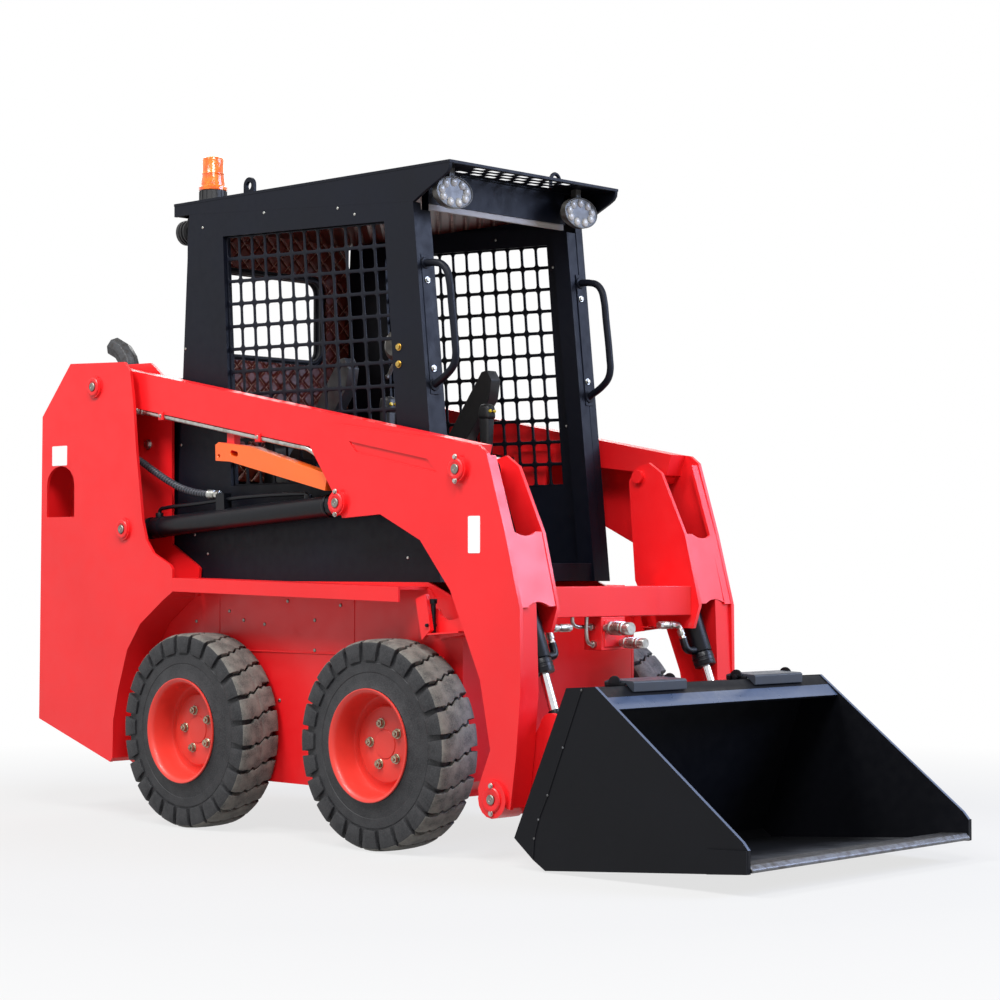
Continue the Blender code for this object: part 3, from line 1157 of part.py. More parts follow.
def build_cab(machine):
    """Rear wall, roof, floor, lining and what stands on the roof."""
    inside = CAB_SIDE_Y[0] - SEAM
    # rear wall, leaning with the rear edge of the side walls
    wall = [(-inside, CAB_BASE_Z), (inside, CAB_BASE_Z), (inside, REAR_WALL_TOP_Z),
            (-inside, REAR_WALL_TOP_Z)]
    window = rounded([(-REAR_WINDOW_HALF_WIDTH, REAR_WINDOW_Z[0]), (REAR_WINDOW_HALF_WIDTH, REAR_WINDOW_Z[0]),
                      (REAR_WINDOW_HALF_WIDTH, REAR_WINDOW_Z[1]), (-REAR_WINDOW_HALF_WIDTH, REAR_WINDOW_Z[1])],
                     REAR_WINDOW_RADIUS)
    rear = prism("yz", [wall, window], REAR_WALL_X, REAR_WALL_X + REAR_WALL_THICKNESS)
    machine.keep(rear, "cab_rear_wall", "frame", "black_paint")
    # roof: sheet, tapered skirts, rear skirt and front header
    sheet = band([(ROOF_FRONT_X, ROOF_FRONT_Z), (ROOF_REAR_X, ROOF_REAR_Z)], ROOF_SHEET)
    roof = prism("xz", sheet, -CAB_SIDE_Y[1], CAB_SIDE_Y[1])
    skirt = [(ROOF_REAR_X + INSET, CAB_REAR_TOP_Z), (CAB_REAR_TOP_X, CAB_REAR_TOP_Z),
             (CAB_FRONT_TOP_X, CAB_FRONT_TOP_Z), (ROOF_FRONT_X - ROOF_SKIRT, ROOF_FRONT_Z - ROOF_SHEET),
             (ROOF_FRONT_X - ROOF_SKIRT, ROOF_FRONT_Z - ROOF_SHEET / 2),
             (ROOF_REAR_X + INSET, ROOF_REAR_Z - ROOF_SHEET / 2)]
    for side in SIDES.values():
        roof = unite(roof, side_plate(side, skirt, (CAB_SIDE_Y[1] - ROOF_SKIRT, CAB_SIDE_Y[1] - INSET)))
    width = CAB_SIDE_Y[1] - ROOF_SKIRT / 2
    roof = unite(roof, box((ROOF_REAR_X + 2 * INSET, ROOF_REAR_X + ROOF_SKIRT), (-width, width),
                           (CAB_REAR_TOP_Z + INSET, ROOF_REAR_Z - ROOF_SHEET / 2 - INSET)))
    inside_pillars = CAB_SIDE_Y[1] - PILLAR_DEPTH - SEAM
    header_front = CAB_FRONT_TOP_X - HEADER_SETBACK
    header_x = (header_front - HEADER_DEPTH, header_front)
    roof = unite(roof, box(header_x, (-inside_pillars, inside_pillars),
                           (HEADER_LOW_Z, ROOF_FRONT_Z - ROOF_SHEET / 2 - INSET)))
    roof = cut(roof, *visor_slots())
    for x, y in EYE_PLACES:
        z = roof_top(x) - ROOF_SHEET / 2
        plate = box((x - EYE_PLATE_WIDTH / 2, x + EYE_PLATE_WIDTH / 2),
                    (y - EYE_PLATE_THICKNESS / 2, y + EYE_PLATE_THICKNESS / 2), (z, z + EYE_PLATE_HEIGHT))
        roof = unite(roof, plate)
    machine.keep(roof, "cab_roof", "frame", "black_paint")
    # floor with the front sill
    floor = box((REAR_WALL_X + REAR_WALL_THICKNESS + SEAM, CAB_FRONT_FOOT_X - PILLAR_LENGTH - 2 * INSET),
                (-inside, inside), (CAB_BASE_Z, CAB_BASE_Z + FLOOR_THICKNESS))
    sill = box((CAB_FRONT_FOOT_X - PILLAR_LENGTH - SEAM - OVERRUN, CAB_FRONT_FOOT_X - OVERRUN / 2),
               (-inside_pillars, inside_pillars), (CAB_BASE_Z, CAB_BASE_Z + SILL_HEIGHT))
    machine.keep(unite(floor, sill), "cab_floor", "frame", "black_paint")
    # quilted lining on the rear wall and under the roof, in one folded piece
    front = REAR_WALL_X + REAR_WALL_THICKNESS + SEAM
    back = [(-LINING_HALF_WIDTH, LINING_SHELF_Z), (LINING_HALF_WIDTH, LINING_SHELF_Z),
            (LINING_HALF_WIDTH, LINING_TOP_Z), (-LINING_HALF_WIDTH, LINING_TOP_Z)]
    lining = prism("yz", [back, window_with_margin(window)], front, front + LINING_THICKNESS)
    ceiling = box((front, header_x[0] - SEAM * 2), (-LINING_HALF_WIDTH, LINING_HALF_WIDTH),
                  (LINING_TOP_Z - LINING_THICKNESS / 2, LINING_TOP_Z + LINING_THICKNESS / 2))
    machine.keep(unite(lining, ceiling), "cab_lining", "frame", "lining_leather")


def window_with_margin(window):
    """Window outline let out a little, so the lining stays clear of the seal."""
    centre_z = (REAR_WINDOW_Z[0] + REAR_WINDOW_Z[1]) / 2
    grow_y = 1 + LINING_MARGIN / REAR_WINDOW_HALF_WIDTH
    grow_z = 1 + 2 * LINING_MARGIN / (REAR_WINDOW_Z[1] - REAR_WINDOW_Z[0])
    return [(y * grow_y, centre_z + (z - centre_z) * grow_z) for y, z in window]


def build_cab_fittings(machine):
    """Seat, levers, arm rests, grab handles, lamps and beacon."""
    floor = CAB_BASE_Z + FLOOR_THICKNESS + SEAM
    base = box(SEAT_BASE_X, (-SEAT_BASE_Y, SEAT_BASE_Y), (floor, SEAT_BASE_TOP_Z))
    machine.keep(base, "seat_base", "frame", "black_paint")
    top = SEAT_BASE_TOP_Z + SEAM
    seat = box((BACKREST_X[0], CUSHION_FRONT_X), (-CUSHION_HALF_WIDTH, CUSHION_HALF_WIDTH),
               (top, top + CUSHION_THICKNESS))
    back = box(BACKREST_X, (-CUSHION_HALF_WIDTH, CUSHION_HALF_WIDTH), (top + WELD, BACKREST_TOP_Z))
    machine.keep(unite(seat, back), "seat", "frame", "seat_vinyl")
    for name, side in SIDES.items():
        y = side * LEVER_Y
        grip_low = LEVER_TOP_Z - LEVER_GRIP_LENGTH
        stalk_top = LEVER_TOP_Z - LEVER_GRIP_LENGTH / 2
        lever = rod((LEVER_X, y, floor), (LEVER_X, y, stalk_top), LEVER_STALK_RADIUS)
        grip = rod((LEVER_X, y, grip_low), (LEVER_X, y, LEVER_TOP_Z), LEVER_GRIP_RADIUS)
        machine.keep(unite(lever, grip), "control_lever_" + name, "frame", "black_plastic", SMOOTH_ANGLE)
        body = "arm_rest_" + name
        machine.add_empty(body, "frame", (ARMREST_PIVOT[0], side * ARMREST_Y[0], ARMREST_PIVOT[1]))
        rest = side_plate(side, shares_to_outline(ARMREST_SHARES, ARMREST_PIVOT, ARMREST_SIZE), ARMREST_Y)
        pin_y = (side * (CUSHION_HALF_WIDTH + SEAM), side * (ARMREST_Y[1] - SEAM))
        pin = cross_pin(ARMREST_PIVOT, pin_y, ARMREST_PIN_RADIUS)
        machine.keep(unite(rest, pin), "arm_rest_" + name, body, "seat_vinyl")
        line = [(pillar_front(z) + out, side * HANDLE_Y, z) for z, out in HANDLE_PLACES]
        machine.keep(tube(line, HANDLE_RADIUS), "grab_handle_" + name, "frame", "black_paint", SMOOTH_ANGLE)
        front = ROOF_FRONT_X - FRONT_LAMP_SETBACK
        lens = oval((side * FRONT_LAMP_Y, FRONT_LAMP_Z), *FRONT_LAMP_SIZE, LAMP_SIDES)
        lamp = prism("yz", lens, front - FRONT_LAMP_DEPTH, front)
        x = front - FRONT_LAMP_DEPTH / 2
        top = roof_top(x + LAMP_POST_RADIUS) - ROOF_SHEET - 2 * SEAM
        post = box((x - LAMP_POST_RADIUS, x + LAMP_POST_RADIUS),
                   (side * FRONT_LAMP_Y - LAMP_POST_RADIUS, side * FRONT_LAMP_Y + LAMP_POST_RADIUS),
                   (FRONT_LAMP_Z, top))
        machine.keep(unite(lamp, post), "front_lamp_" + name, "frame", "lamp_lens", SMOOTH_ANGLE)
    y, z = REAR_LAMP_PLACE
    lamp = rod((REAR_LAMP_X[0], y, z), (REAR_LAMP_X[1], y, z), REAR_LAMP_RADIUS, LAMP_SIDES)
    post = rod((REAR_LAMP_X[1] - SKIN_OVERLAP, y, z), (REAR_WALL_X - SEAM, y, z), LAMP_POST_RADIUS)
    machine.keep(unite(lamp, post), "rear_lamp", "frame", "black_plastic", SMOOTH_ANGLE)
    x, y = BEACON_PLACE
    z = roof_top(x - BEACON_BASE_RADIUS) + SEAM
    top = z + BEACON_HEIGHT
    beacon = rod((x, y, z), (x, y, z + BEACON_BASE_HEIGHT), BEACON_BASE_RADIUS, LAMP_SIDES)
    dome_low, dome_top = z + BEACON_BASE_HEIGHT / 2, top - BEACON_CAP_RADIUS / 2
    dome = rod((x, y, dome_low), (x, y, dome_top), BEACON_RADIUS, LAMP_SIDES)
    cap = rod((x, y, top - BEACON_CAP_RADIUS), (x, y, top), BEACON_CAP_RADIUS, LAMP_SIDES)
    machine.keep(unite(beacon, dome, cap), "beacon", "frame", "beacon_lens", SMOOTH_ANGLE)


def build_engine_bay(machine):
    """Engine block, cowl, exhaust stub and the hinged rear door."""
    outline = chassis_outline()
    rear, front = Vector(outline[0]), Vector(outline[1])
    way = (front - rear).normalized()
    rise = (BELLY_THICKNESS + INSET) / way.x
    seat = rear.y + (ENGINE_X[0] - rear.x) * way.y / way.x + rise + SEAM
    engine = box(ENGINE_X, (-ENGINE_Y, ENGINE_Y), (seat, ENGINE_TOP_Z))
    machine.keep(engine, "engine", "frame", "engine_iron")
    width = TOWER_INNER_Y[0] - SEAM
    path = [(COWL_X[1], COWL_Z), (COWL_X[0], COWL_Z), (COWL_REAR_X, COWL_REAR_Z)]
    cowl = prism("xz", band(path, COWL_THICKNESS), -width, width)
    x, y = EXHAUST_PLACE
    hole = rod((x, y, COWL_Z - OVERRUN * 2), (x, y, COWL_Z + OVERRUN), EXHAUST_RADIUS + SEAM, LAMP_SIDES)
    cowl = cut(cowl, hole)
    machine.keep(cowl, "engine_cowl", "frame", "black_paint")
    line = [(x, y, COWL_Z - EXHAUST_DROP), (x, y, COWL_Z + EXHAUST_RISE)]
    line += [(x - back, y, COWL_Z + EXHAUST_RISE + up) for back, up in EXHAUST_ELBOW]
    stub = tube(line, EXHAUST_RADIUS)
    machine.keep(stub, "exhaust", "frame", "engine_iron", SMOOTH_ANGLE)
    hinge = (DOOR_HINGE[0], DOOR_HINGE[1], (DOOR_Z[0] + DOOR_Z[1]) / 2)
    machine.add_empty("rear_door", "frame", hinge)
    door = box(DOOR_X, (-DOOR_Y, DOOR_Y), DOOR_Z)
    hollow = box((DOOR_X[0] + DOOR_SHEET, DOOR_X[1] + OVERRUN), (-DOOR_Y + DOOR_SHEET, DOOR_Y - DOOR_SHEET),
                 (DOOR_Z[0] + DOOR_SHEET, DOOR_Z[1] - DOOR_SHEET))
    door = cut(door, hollow)
    x, y = DOOR_HINGE
    for z in DOOR_KNUCKLE_Z:
        top = z + DOOR_KNUCKLE_HEIGHT
        door = unite(door, rod((x, y, z), (x, y, top), DOOR_KNUCKLE_RADIUS, DOOR_KNUCKLE_SIDES))
        leaf = box((x + INSET, x + DOOR_KNUCKLE_RADIUS - INSET), (DOOR_Y - SKIN_OVERLAP, y),
                   (z + INSET, top - INSET))
        door = unite(door, leaf)
        bore = bore_radius(DOOR_PIN_RADIUS, DOOR_KNUCKLE_SIDES)
        door = cut(door, rod((x, y, z - OVERRUN), (x, y, top + OVERRUN), bore, DOOR_KNUCKLE_SIDES))
    machine.keep(door, "rear_door", "rear_door", "red_paint")


def build_all():
    """Build every sub-assembly."""
    clear_scene()
    machine = Machine()
    machine.add_empty("loader_arms", "frame", (ARM_PIVOT[0], 0, ARM_PIVOT[1]))
    machine.add_empty("bucket", "loader_arms", (BUCKET_PIVOT[0], 0, BUCKET_PIVOT[1]))
    build_chassis(machine)
    for name, side in SIDES.items():
        build_tower(machine, name, side)
        build_fender(machine, name, side)
        build_cab_side(machine, name, side)
        build_arm(machine, name, side)
        build_arm_fittings(machine, name, side)
        build_cylinder(machine, name, side, "lift")
        build_cylinder(machine, name, side, "tilt")
        build_wheel(machine, "rear", name, side, 0)
        build_wheel(machine, "front", name, side, WHEELBASE)
    build_cross_beam(machine)
    build_coupler_block(machine)
    build_strut(machine)
    build_coupler(machine)
    build_bucket(machine)
    build_cab(machine)
    build_cab_fittings(machine)
    build_engine_bay(machine)


build_all()
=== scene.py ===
"""Looks of a compact skid steer loader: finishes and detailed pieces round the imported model.

Every piece is modelled in the model's own frame, in metres: x forward, y to the machine's left, z up.
"""

import json
import logging
import math
from collections.abc import Callable, Sequence
from dataclasses import dataclass
from enum import Enum

import bmesh
import bpy
from mathutils import Matrix, Vector

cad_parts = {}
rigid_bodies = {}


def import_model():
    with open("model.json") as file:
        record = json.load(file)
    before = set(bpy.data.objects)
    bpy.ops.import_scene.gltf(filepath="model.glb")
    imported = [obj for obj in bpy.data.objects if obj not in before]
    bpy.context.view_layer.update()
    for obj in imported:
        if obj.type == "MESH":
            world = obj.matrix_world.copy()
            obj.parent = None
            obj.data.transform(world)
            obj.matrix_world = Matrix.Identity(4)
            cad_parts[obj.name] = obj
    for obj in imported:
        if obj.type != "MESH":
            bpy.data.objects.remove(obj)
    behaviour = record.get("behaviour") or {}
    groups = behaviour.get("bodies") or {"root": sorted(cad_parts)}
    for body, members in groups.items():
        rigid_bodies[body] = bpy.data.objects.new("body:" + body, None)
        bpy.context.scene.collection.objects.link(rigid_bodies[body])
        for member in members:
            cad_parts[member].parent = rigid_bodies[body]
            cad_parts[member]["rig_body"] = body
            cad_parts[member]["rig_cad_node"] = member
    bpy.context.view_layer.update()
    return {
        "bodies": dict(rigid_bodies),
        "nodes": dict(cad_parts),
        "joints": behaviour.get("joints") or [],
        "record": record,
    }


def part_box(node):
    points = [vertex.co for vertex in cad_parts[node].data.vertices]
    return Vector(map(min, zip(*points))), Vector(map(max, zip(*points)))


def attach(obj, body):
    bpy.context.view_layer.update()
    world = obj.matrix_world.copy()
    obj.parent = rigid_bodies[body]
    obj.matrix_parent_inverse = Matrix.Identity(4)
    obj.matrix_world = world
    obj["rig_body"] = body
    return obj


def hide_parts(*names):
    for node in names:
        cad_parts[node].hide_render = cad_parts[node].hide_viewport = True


LOG = logging.getLogger("skid_steer_loader")
Point = tuple[float, float, float]
Pair = tuple[float, float]
Piece = bpy.types.Object
Socket = bpy.types.NodeSocket
# the model's own x of the rear axle; lengths along the machine are given from there
AXLE_X = -0.6875
WHEELBASE = 0.849
SIDES = {"right": -1, "left": 1}
# faces' distances from the machine's middle plane
TOWER_FACE = 0.492
TOWER_INNER_PLATE = 0.3763
ARM_FACE = 0.473
FOOT_FACE = 0.470
CAB_WALL = 0.363
CAB_WALL_INSIDE = 0.333
CHASSIS_SIDE = 0.366
LIFT_CYLINDER = 0.4125


def at(x: float, y: float, z: float) -> Vector:
    """Point given by its distance from the rear axle, in the model's own frame."""
    return Vector((x + AXLE_X, y, z))


# Colour and shader nodes


def linear(value: str) -> tuple[float, float, float, float]:
    """Linear colour of an sRGB hex value.

    Args:
        value: six hex digits.

    Returns:
        Red, green, blue and alpha.
    """
    channels = [int(value[i:i + 2], 16) / 255 for i in (0, 2, 4)]
    return (*[c / 12.92 if c <= 0.04045 else ((c + 0.055) / 1.055) ** 2.4 for c in channels], 1.0)


class NodeTree:
    """Nodes and links of a material or of the world."""

    def __init__(self, tree: bpy.types.NodeTree) -> None:
        """Keep the tree."""
        self.tree = tree

    def add(self, kind: str, inputs: dict | None = None, **settings: object) -> bpy.types.Node:
        """Add a node with its settings and links.

        Args:
            kind: the node's type name.
            inputs: socket name or number, to a value or to another node's output.
            settings: the node's own properties.

        Returns:
            The new node.
        """
        made = self.tree.nodes.new(kind)
        for key, value in settings.items():
            setattr(made, key, value)
        for key, value in (inputs or {}).items():
            self.feed(made, key, value)
        return made

    def feed(self, target: bpy.types.Node, key: str | int, value: object) -> None:
        """Set a socket, or link it when the value is an output."""
        if isinstance(value, Socket):
            self.tree.links.new(value, target.inputs[key])
        else:
            target.inputs[key].default_value = value

    def math(self, way: str, first: object, second: object = None) -> Socket:
        """Result of one sum with values or outputs."""
        inputs = {0: first} if second is None else {0: first, 1: second}
        return self.add("ShaderNodeMath", inputs, operation=way).outputs[0]

    def seen(self) -> Socket:
        """Value 1 for what the camera sees directly, in a reflection or through glass."""
        rays = self.add("ShaderNodeLightPath").outputs
        either = self.math("MAXIMUM", rays["Is Camera Ray"], rays["Is Glossy Ray"])
        return self.math("MAXIMUM", either, rays["Is Transmission Ray"])


class Shader(NodeTree):
    """One material and its nodes."""

    def __init__(self, name: str) -> None:
        """Start a material with its principled shader."""
        self.material = bpy.data.materials.new(name)
        self.material.use_nodes = True
        super().__init__(self.material.node_tree)
        self.surface = self.tree.nodes["Principled BSDF"]

    def place(self, scale: float | Point = 1.0, turn: Point = (0, 0, 0)) -> Socket:
        """Object coordinates, scaled and turned."""
        coordinate = self.add("ShaderNodeTexCoord")
        size = (scale,) * 3 if isinstance(scale, (int, float)) else scale
        mapping = self.add("ShaderNodeMapping", {"Vector": coordinate.outputs["Object"], "Scale": size,
                                                 "Rotation": turn})
        return mapping.outputs["Vector"]

    def noise(self, size: float, detail: float = 3.0, **more: object) -> Socket:
        """Noise whose patches are about as wide as size, in metres."""
        made = self.add("ShaderNodeTexNoise", {"Vector": self.place(), "Scale": 1 / size, "Detail": detail, **more})
        return made.outputs["Fac"]

    def ramp(self, source: Socket, stops: Sequence[tuple[float, str]]) -> Socket:
        """Colour ramp with stops of place and hex colour."""
        made = self.add("ShaderNodeValToRGB", {"Fac": source})
        elements = made.color_ramp.elements
        while len(elements) < len(stops):
            elements.new(0.5)
        for element, (place, colour) in zip(elements, stops):
            element.position = place
            element.color = linear(colour)
        return made.outputs["Color"]

    def spread(self, source: Socket, low: Pair, high: Pair) -> Socket:
        """Map a value from the range low to the range high."""
        made = self.add("ShaderNodeMapRange", {"Value": source, "From Min": low[0], "From Max": low[1],
                                               "To Min": high[0], "To Max": high[1]})
        return made.outputs["Result"]

    def mottled(self, size: float, detail: float, share: Pair, first: str, second: str) -> Socket:
        """Two colours that change over in patches about as wide as size."""
        return self.mix(self.spread(self.noise(size, detail), share, (0, 1)), first, second)

    def uneven(self, size: float, detail: float, low: float, high: float) -> Socket:
        """Value that wanders between low and high in patches about as wide as size."""
        return self.spread(self.noise(size, detail), (0.3, 0.7), (low, high))

    def bump(self, height: Socket, depth: float) -> None:
        """Relief of a height pattern, with its depth in metres."""
        made = self.add("ShaderNodeBump", {"Height": height, "Distance": depth, "Strength": 1.0,
                                           "Normal": self.normal()})
        self.feed(self.surface, "Normal", made.outputs["Normal"])

    def normal(self) -> Socket:
        """Normal that the surface has so far."""
        links = self.surface.inputs["Normal"].links
        if links:
            return links[0].from_socket
        return self.add("ShaderNodeNewGeometry").outputs["Normal"]

    def mix(self, share: object, first: object, second: object) -> Socket:
        """Blend two colours by a share."""
        made = self.add("ShaderNodeMix", data_type="RGBA")
        for key, value in ((0, share), (6, first), (7, second)):
            self.feed(made, key, linear(value) if isinstance(value, str) else value)
        return made.outputs[2]

    def set(self, **values: object) -> None:
        """Set or link sockets of the principled shader, named with underscores."""
        for key, value in values.items():
            name = key.replace("_", " ")
            self.feed(self.surface, name, linear(value) if isinstance(value, str) else value)


@dataclass(frozen=True)
class Enamel:
    """Sprayed enamel over steel: even colour, a faint orange peel and a little dust where rain dries."""

    name: str
    colour: str
    shade: str
    roughness: float = 0.34
    peel: float = 0.00012
    coat: float = 0.35

    def build(self) -> bpy.types.Material:
        """Make the material."""
        shader = Shader(self.name)
        # broad fading of a few per cent over 0.4 m, as on panels sprayed by hand
        tone = shader.mottled(0.4, 2, (0.35, 0.65), self.colour, self.shade)
        rough = shader.uneven(0.05, 4, self.roughness - 0.05, self.roughness + 0.07)
        shader.set(Base_Color=tone, Roughness=rough, Coat_Weight=self.coat, Coat_Roughness=0.12)
        # orange peel about 4 mm across
        shader.bump(shader.noise(0.004, 1), self.peel)
        return shader.material


@dataclass(frozen=True)
class PowderCoat:
    """Baked powder coat: dark, with the fine grain of melted powder and softened highlights."""

    name: str
    colour: str
    shade: str
    roughness: float = 0.42
    grain: float = 0.00010
    specular: float = 0.5

    def build(self) -> bpy.types.Material:
        """Make the material."""
        shader = Shader(self.name)
        tone = shader.mottled(0.25, 3, (0.3, 0.7), self.colour, self.shade)
        rough = shader.uneven(0.03, 5, self.roughness - 0.06, self.roughness + 0.08)
        shader.set(Base_Color=tone, Roughness=rough, Specular_IOR_Level=self.specular)
        # powder grain, drawn at 1.5 mm because its real 0.3 mm is too fine to show
        shader.bump(shader.noise(0.0015, 2), self.grain)
        return shader.material


@dataclass(frozen=True)
class ScouredCoat:
    """Black coat worn through to grey steel by what slides over it, in streaks along x."""

    name: str
    colour: str
    steel: str
    worn_x: Pair

    def build(self) -> bpy.types.Material:
        """Make the material."""
        shader = Shader(self.name)
        parts = shader.add("ShaderNodeSeparateXYZ", {0: shader.place()})
        # streaks 3 mm wide and 120 mm long, denser towards the edge
        streak = shader.add("ShaderNodeTexNoise", {"Vector": shader.place((8, 320, 8)), "Scale": 1.0, "Detail": 4})
        near = shader.spread(parts.outputs["X"], self.worn_x, (0.20, 0.62))
        worn = shader.math("SUBTRACT", near, streak.outputs["Fac"])
        share = shader.spread(worn, (-0.06, 0.10), (0, 0.8))
        shader.set(Base_Color=shader.mix(share, self.colour, self.steel), Roughness=0.45, Specular_IOR_Level=0.25)
        shader.bump(shader.noise(0.003, 4), 0.0001)
        return shader.material


@dataclass(frozen=True)
class Metal:
    """Bare or plated metal: reflective, with fine turning marks and slight stains."""

    name: str
    colour: str
    stain: str
    roughness: float = 0.25
    marks: float = 0.00002

    def build(self) -> bpy.types.Material:
        """Make the material."""
        shader = Shader(self.name)
        tone = shader.mottled(0.02, 5, (0.45, 0.75), self.colour, self.stain)
        rough = shader.uneven(0.008, 5, self.roughness * 0.8, self.roughness * 1.3)
        shader.set(Base_Color=tone, Roughness=rough, Metallic=1.0)
        shader.bump(shader.noise(0.001, 3), self.marks)
        return shader.material


@dataclass(frozen=True)
class Rubber:
    """Vulcanised rubber: dull, charcoal, with a bloom of pale dust that the ground leaves; on the tread the heavy
    pale bloom also stands for painted light.
    """

    name: str
    colour: str
    pale_dust_and_light: str
    pale_dust_and_light_share: float = 0.5
    roughness: float = 0.78
    grain: float = 0.0004

    def build(self) -> bpy.types.Material:
        """Make the material."""
        shader = Shader(self.name)
        cover = shader.spread(shader.noise(0.035, 6), (0.35, 0.72), (0, self.pale_dust_and_light_share))
        fine = shader.spread(shader.noise(0.004, 4), (0.4, 0.65), (0, 0.35))
        tone = shader.mix(fine, shader.mix(cover, self.colour, self.pale_dust_and_light), self.pale_dust_and_light)
        shader.set(Base_Color=tone, Roughness=self.roughness, Specular_IOR_Level=0.35)
        shader.bump(shader.noise(0.006, 5), self.grain)
        return shader.material


@dataclass(frozen=True)
class Plastic:
    """Moulded plastic: even colour with a fine spark-eroded grain."""

    name: str
    colour: str
    roughness: float = 0.5
    grain: float = 0.00008

    def build(self) -> bpy.types.Material:
        """Make the material."""
        shader = Shader(self.name)
        rough = shader.uneven(0.02, 4, self.roughness - 0.06, self.roughness + 0.08)
        shader.set(Base_Color=self.colour, Roughness=rough)
        shader.bump(shader.noise(0.0016, 2), self.grain)
        return shader.material


@dataclass(frozen=True)
class Lens:
    """Tinted clear moulding: glossy, with vertical flutes about 4 mm apart that scatter its colour."""

    name: str
    colour: str
    deep: str
    flute: float = 0.004

    def build(self) -> bpy.types.Material:
        """Make the material."""
        shader = Shader(self.name)
        tone = shader.mottled(0.02, 2, (0.35, 0.65), self.colour, self.deep)
        shader.set(Base_Color=tone, Roughness=0.16, Subsurface_Weight=0.25, Subsurface_Scale=0.01,
                   Coat_Weight=0.6, Coat_Roughness=0.05)
        shader.bump(shader.noise(self.flute, 0), 0.0006)
        return shader.material


@dataclass(frozen=True)
class Quilt:
    """Vinyl quilted over foam: rust brown, stitched in diamonds 62 mm wide with a pale double thread."""

    name: str
    colour: str
    shade: str
    thread: str
    pitch: float = 0.062

    def build(self) -> bpy.types.Material:
        """Make the material."""
        shader = Shader(self.name)
        parts = shader.add("ShaderNodeSeparateXYZ", {0: shader.place()})
        across = shader.math("ADD", parts.outputs["X"], parts.outputs["Y"])
        waves = []
        for way in ("ADD", "SUBTRACT"):
            turn = shader.math("MULTIPLY", shader.math(way, across, parts.outputs["Z"]), math.pi / self.pitch)
            waves.append(shader.math("ABSOLUTE", shader.math("SINE", turn)))
        low = shader.math("MINIMUM", *waves)
        base = shader.mottled(0.09, 3, (0.3, 0.7), self.colour, self.shade)
        # stitches 5 mm long along the seams, broken by a fine noise
        seam = shader.spread(low, (0.035, 0.10), (1, 0))
        broken = shader.spread(shader.noise(0.012, 1), (0.42, 0.5), (0, 1))
        stitch = shader.math("MULTIPLY", seam, broken)
        shader.set(Base_Color=shader.mix(stitch, base, self.thread), Roughness=0.42)
        shader.bump(shader.spread(low, (0, 0.6), (0, 1)), 0.006)
        shader.bump(shader.noise(0.002, 2), 0.0002)
        return shader.material


# Edit-mode tools


def deselect_all() -> None:
    """Deselect every object and leave edit mode."""
    if bpy.context.object and bpy.context.object.mode != "OBJECT":
        bpy.ops.object.mode_set(mode="OBJECT")
    bpy.ops.object.select_all(action="DESELECT")


def focus(thing: Piece) -> Piece:
    """Select one object alone and make it active."""
    deselect_all()
    thing.select_set(True)
    bpy.context.view_layer.objects.active = thing
    return thing


def primitive(kind: str, name: str, **settings: object) -> Piece:
    """Add a mesh primitive.

    Args:
        kind: cube, cylinder, cone, plane, grid, circle, torus or uv_sphere.
        name: the new object's name.
        settings: the operator's settings.

    Returns:
        The new object, selected alone.
    """
    deselect_all()
    getattr(bpy.ops.mesh, f"primitive_{kind}_add")(**settings)
    thing = bpy.context.object
    thing.name = name
    return thing


def settle(thing: Piece) -> Piece:
    """Put the object's place, turn and size into its mesh."""
    focus(thing)
    bpy.ops.object.transform_apply(location=True, rotation=True, scale=True)
    return thing


def box(name: str, low: Point, high: Point) -> Piece:
    """Block between two corners."""
    middle = [(a + b) / 2 for a, b in zip(low, high)]
    thing = primitive("cube", name, size=1, location=middle)
    thing.scale = [abs(b - a) for a, b in zip(low, high)]
    return settle(thing)


def rod(name: str, start: Point, end: Point, radius: float, sides: int = 24,
        end_radius: float | None = None) -> Piece:
    """Round bar or cone between two points."""
    start, end = Vector(start), Vector(end)
    turn = (end - start).to_track_quat("Z", "Y").to_euler()
    thing = primitive("cone", name, vertices=sides, radius1=radius, depth=(end - start).length,
                      radius2=radius if end_radius is None else end_radius, location=(start + end) / 2,
                      rotation=turn)
    return settle(thing)


def edit(thing: Piece, pick: Callable[[bmesh.types.BMFace], bool] | None = None,
         mode: str = "FACE") -> bmesh.types.BMesh:
    """Enter edit mode with the faces, edges or points that pick names selected.

    Args:
        thing: the object to edit.
        pick: test for an element; everything is selected without it.
        mode: VERT, EDGE or FACE.

    Returns:
        The edit mesh.
    """
    focus(thing)
    bpy.ops.object.mode_set(mode="EDIT")
    bpy.ops.mesh.select_mode(type=mode)
    bpy.ops.mesh.select_all(action="DESELECT")
    mesh = bmesh.from_edit_mesh(thing.data)
    elements = {"VERT": mesh.verts, "EDGE": mesh.edges, "FACE": mesh.faces}[mode]
    for element in elements:
        element.select_set(pick is None or bool(pick(element)))
    mesh.select_flush_mode()
    bmesh.update_edit_mesh(thing.data)
    return mesh


def leave() -> Piece:
    """Leave edit mode."""
    bpy.ops.object.mode_set(mode="OBJECT")
    return bpy.context.object


def extrude(way: Point) -> None:
    """Extrude what is selected along a vector."""
    bpy.ops.mesh.extrude_region_move(TRANSFORM_OT_translate={"value": way})


def outwards(thing: Piece) -> Piece:
    """Turn every face outwards."""
    edit(thing)
    bpy.ops.mesh.normals_make_consistent(inside=False)
    return leave()


def modify(thing: Piece, kind: str, **settings: object) -> Piece:
    """Add one modifier and apply it."""
    focus(thing)
    made = thing.modifiers.new(kind.lower(), kind)
    for key, value in settings.items():
        setattr(made, key, value)
    bpy.ops.object.modifier_apply(modifier=made.name)
    return thing


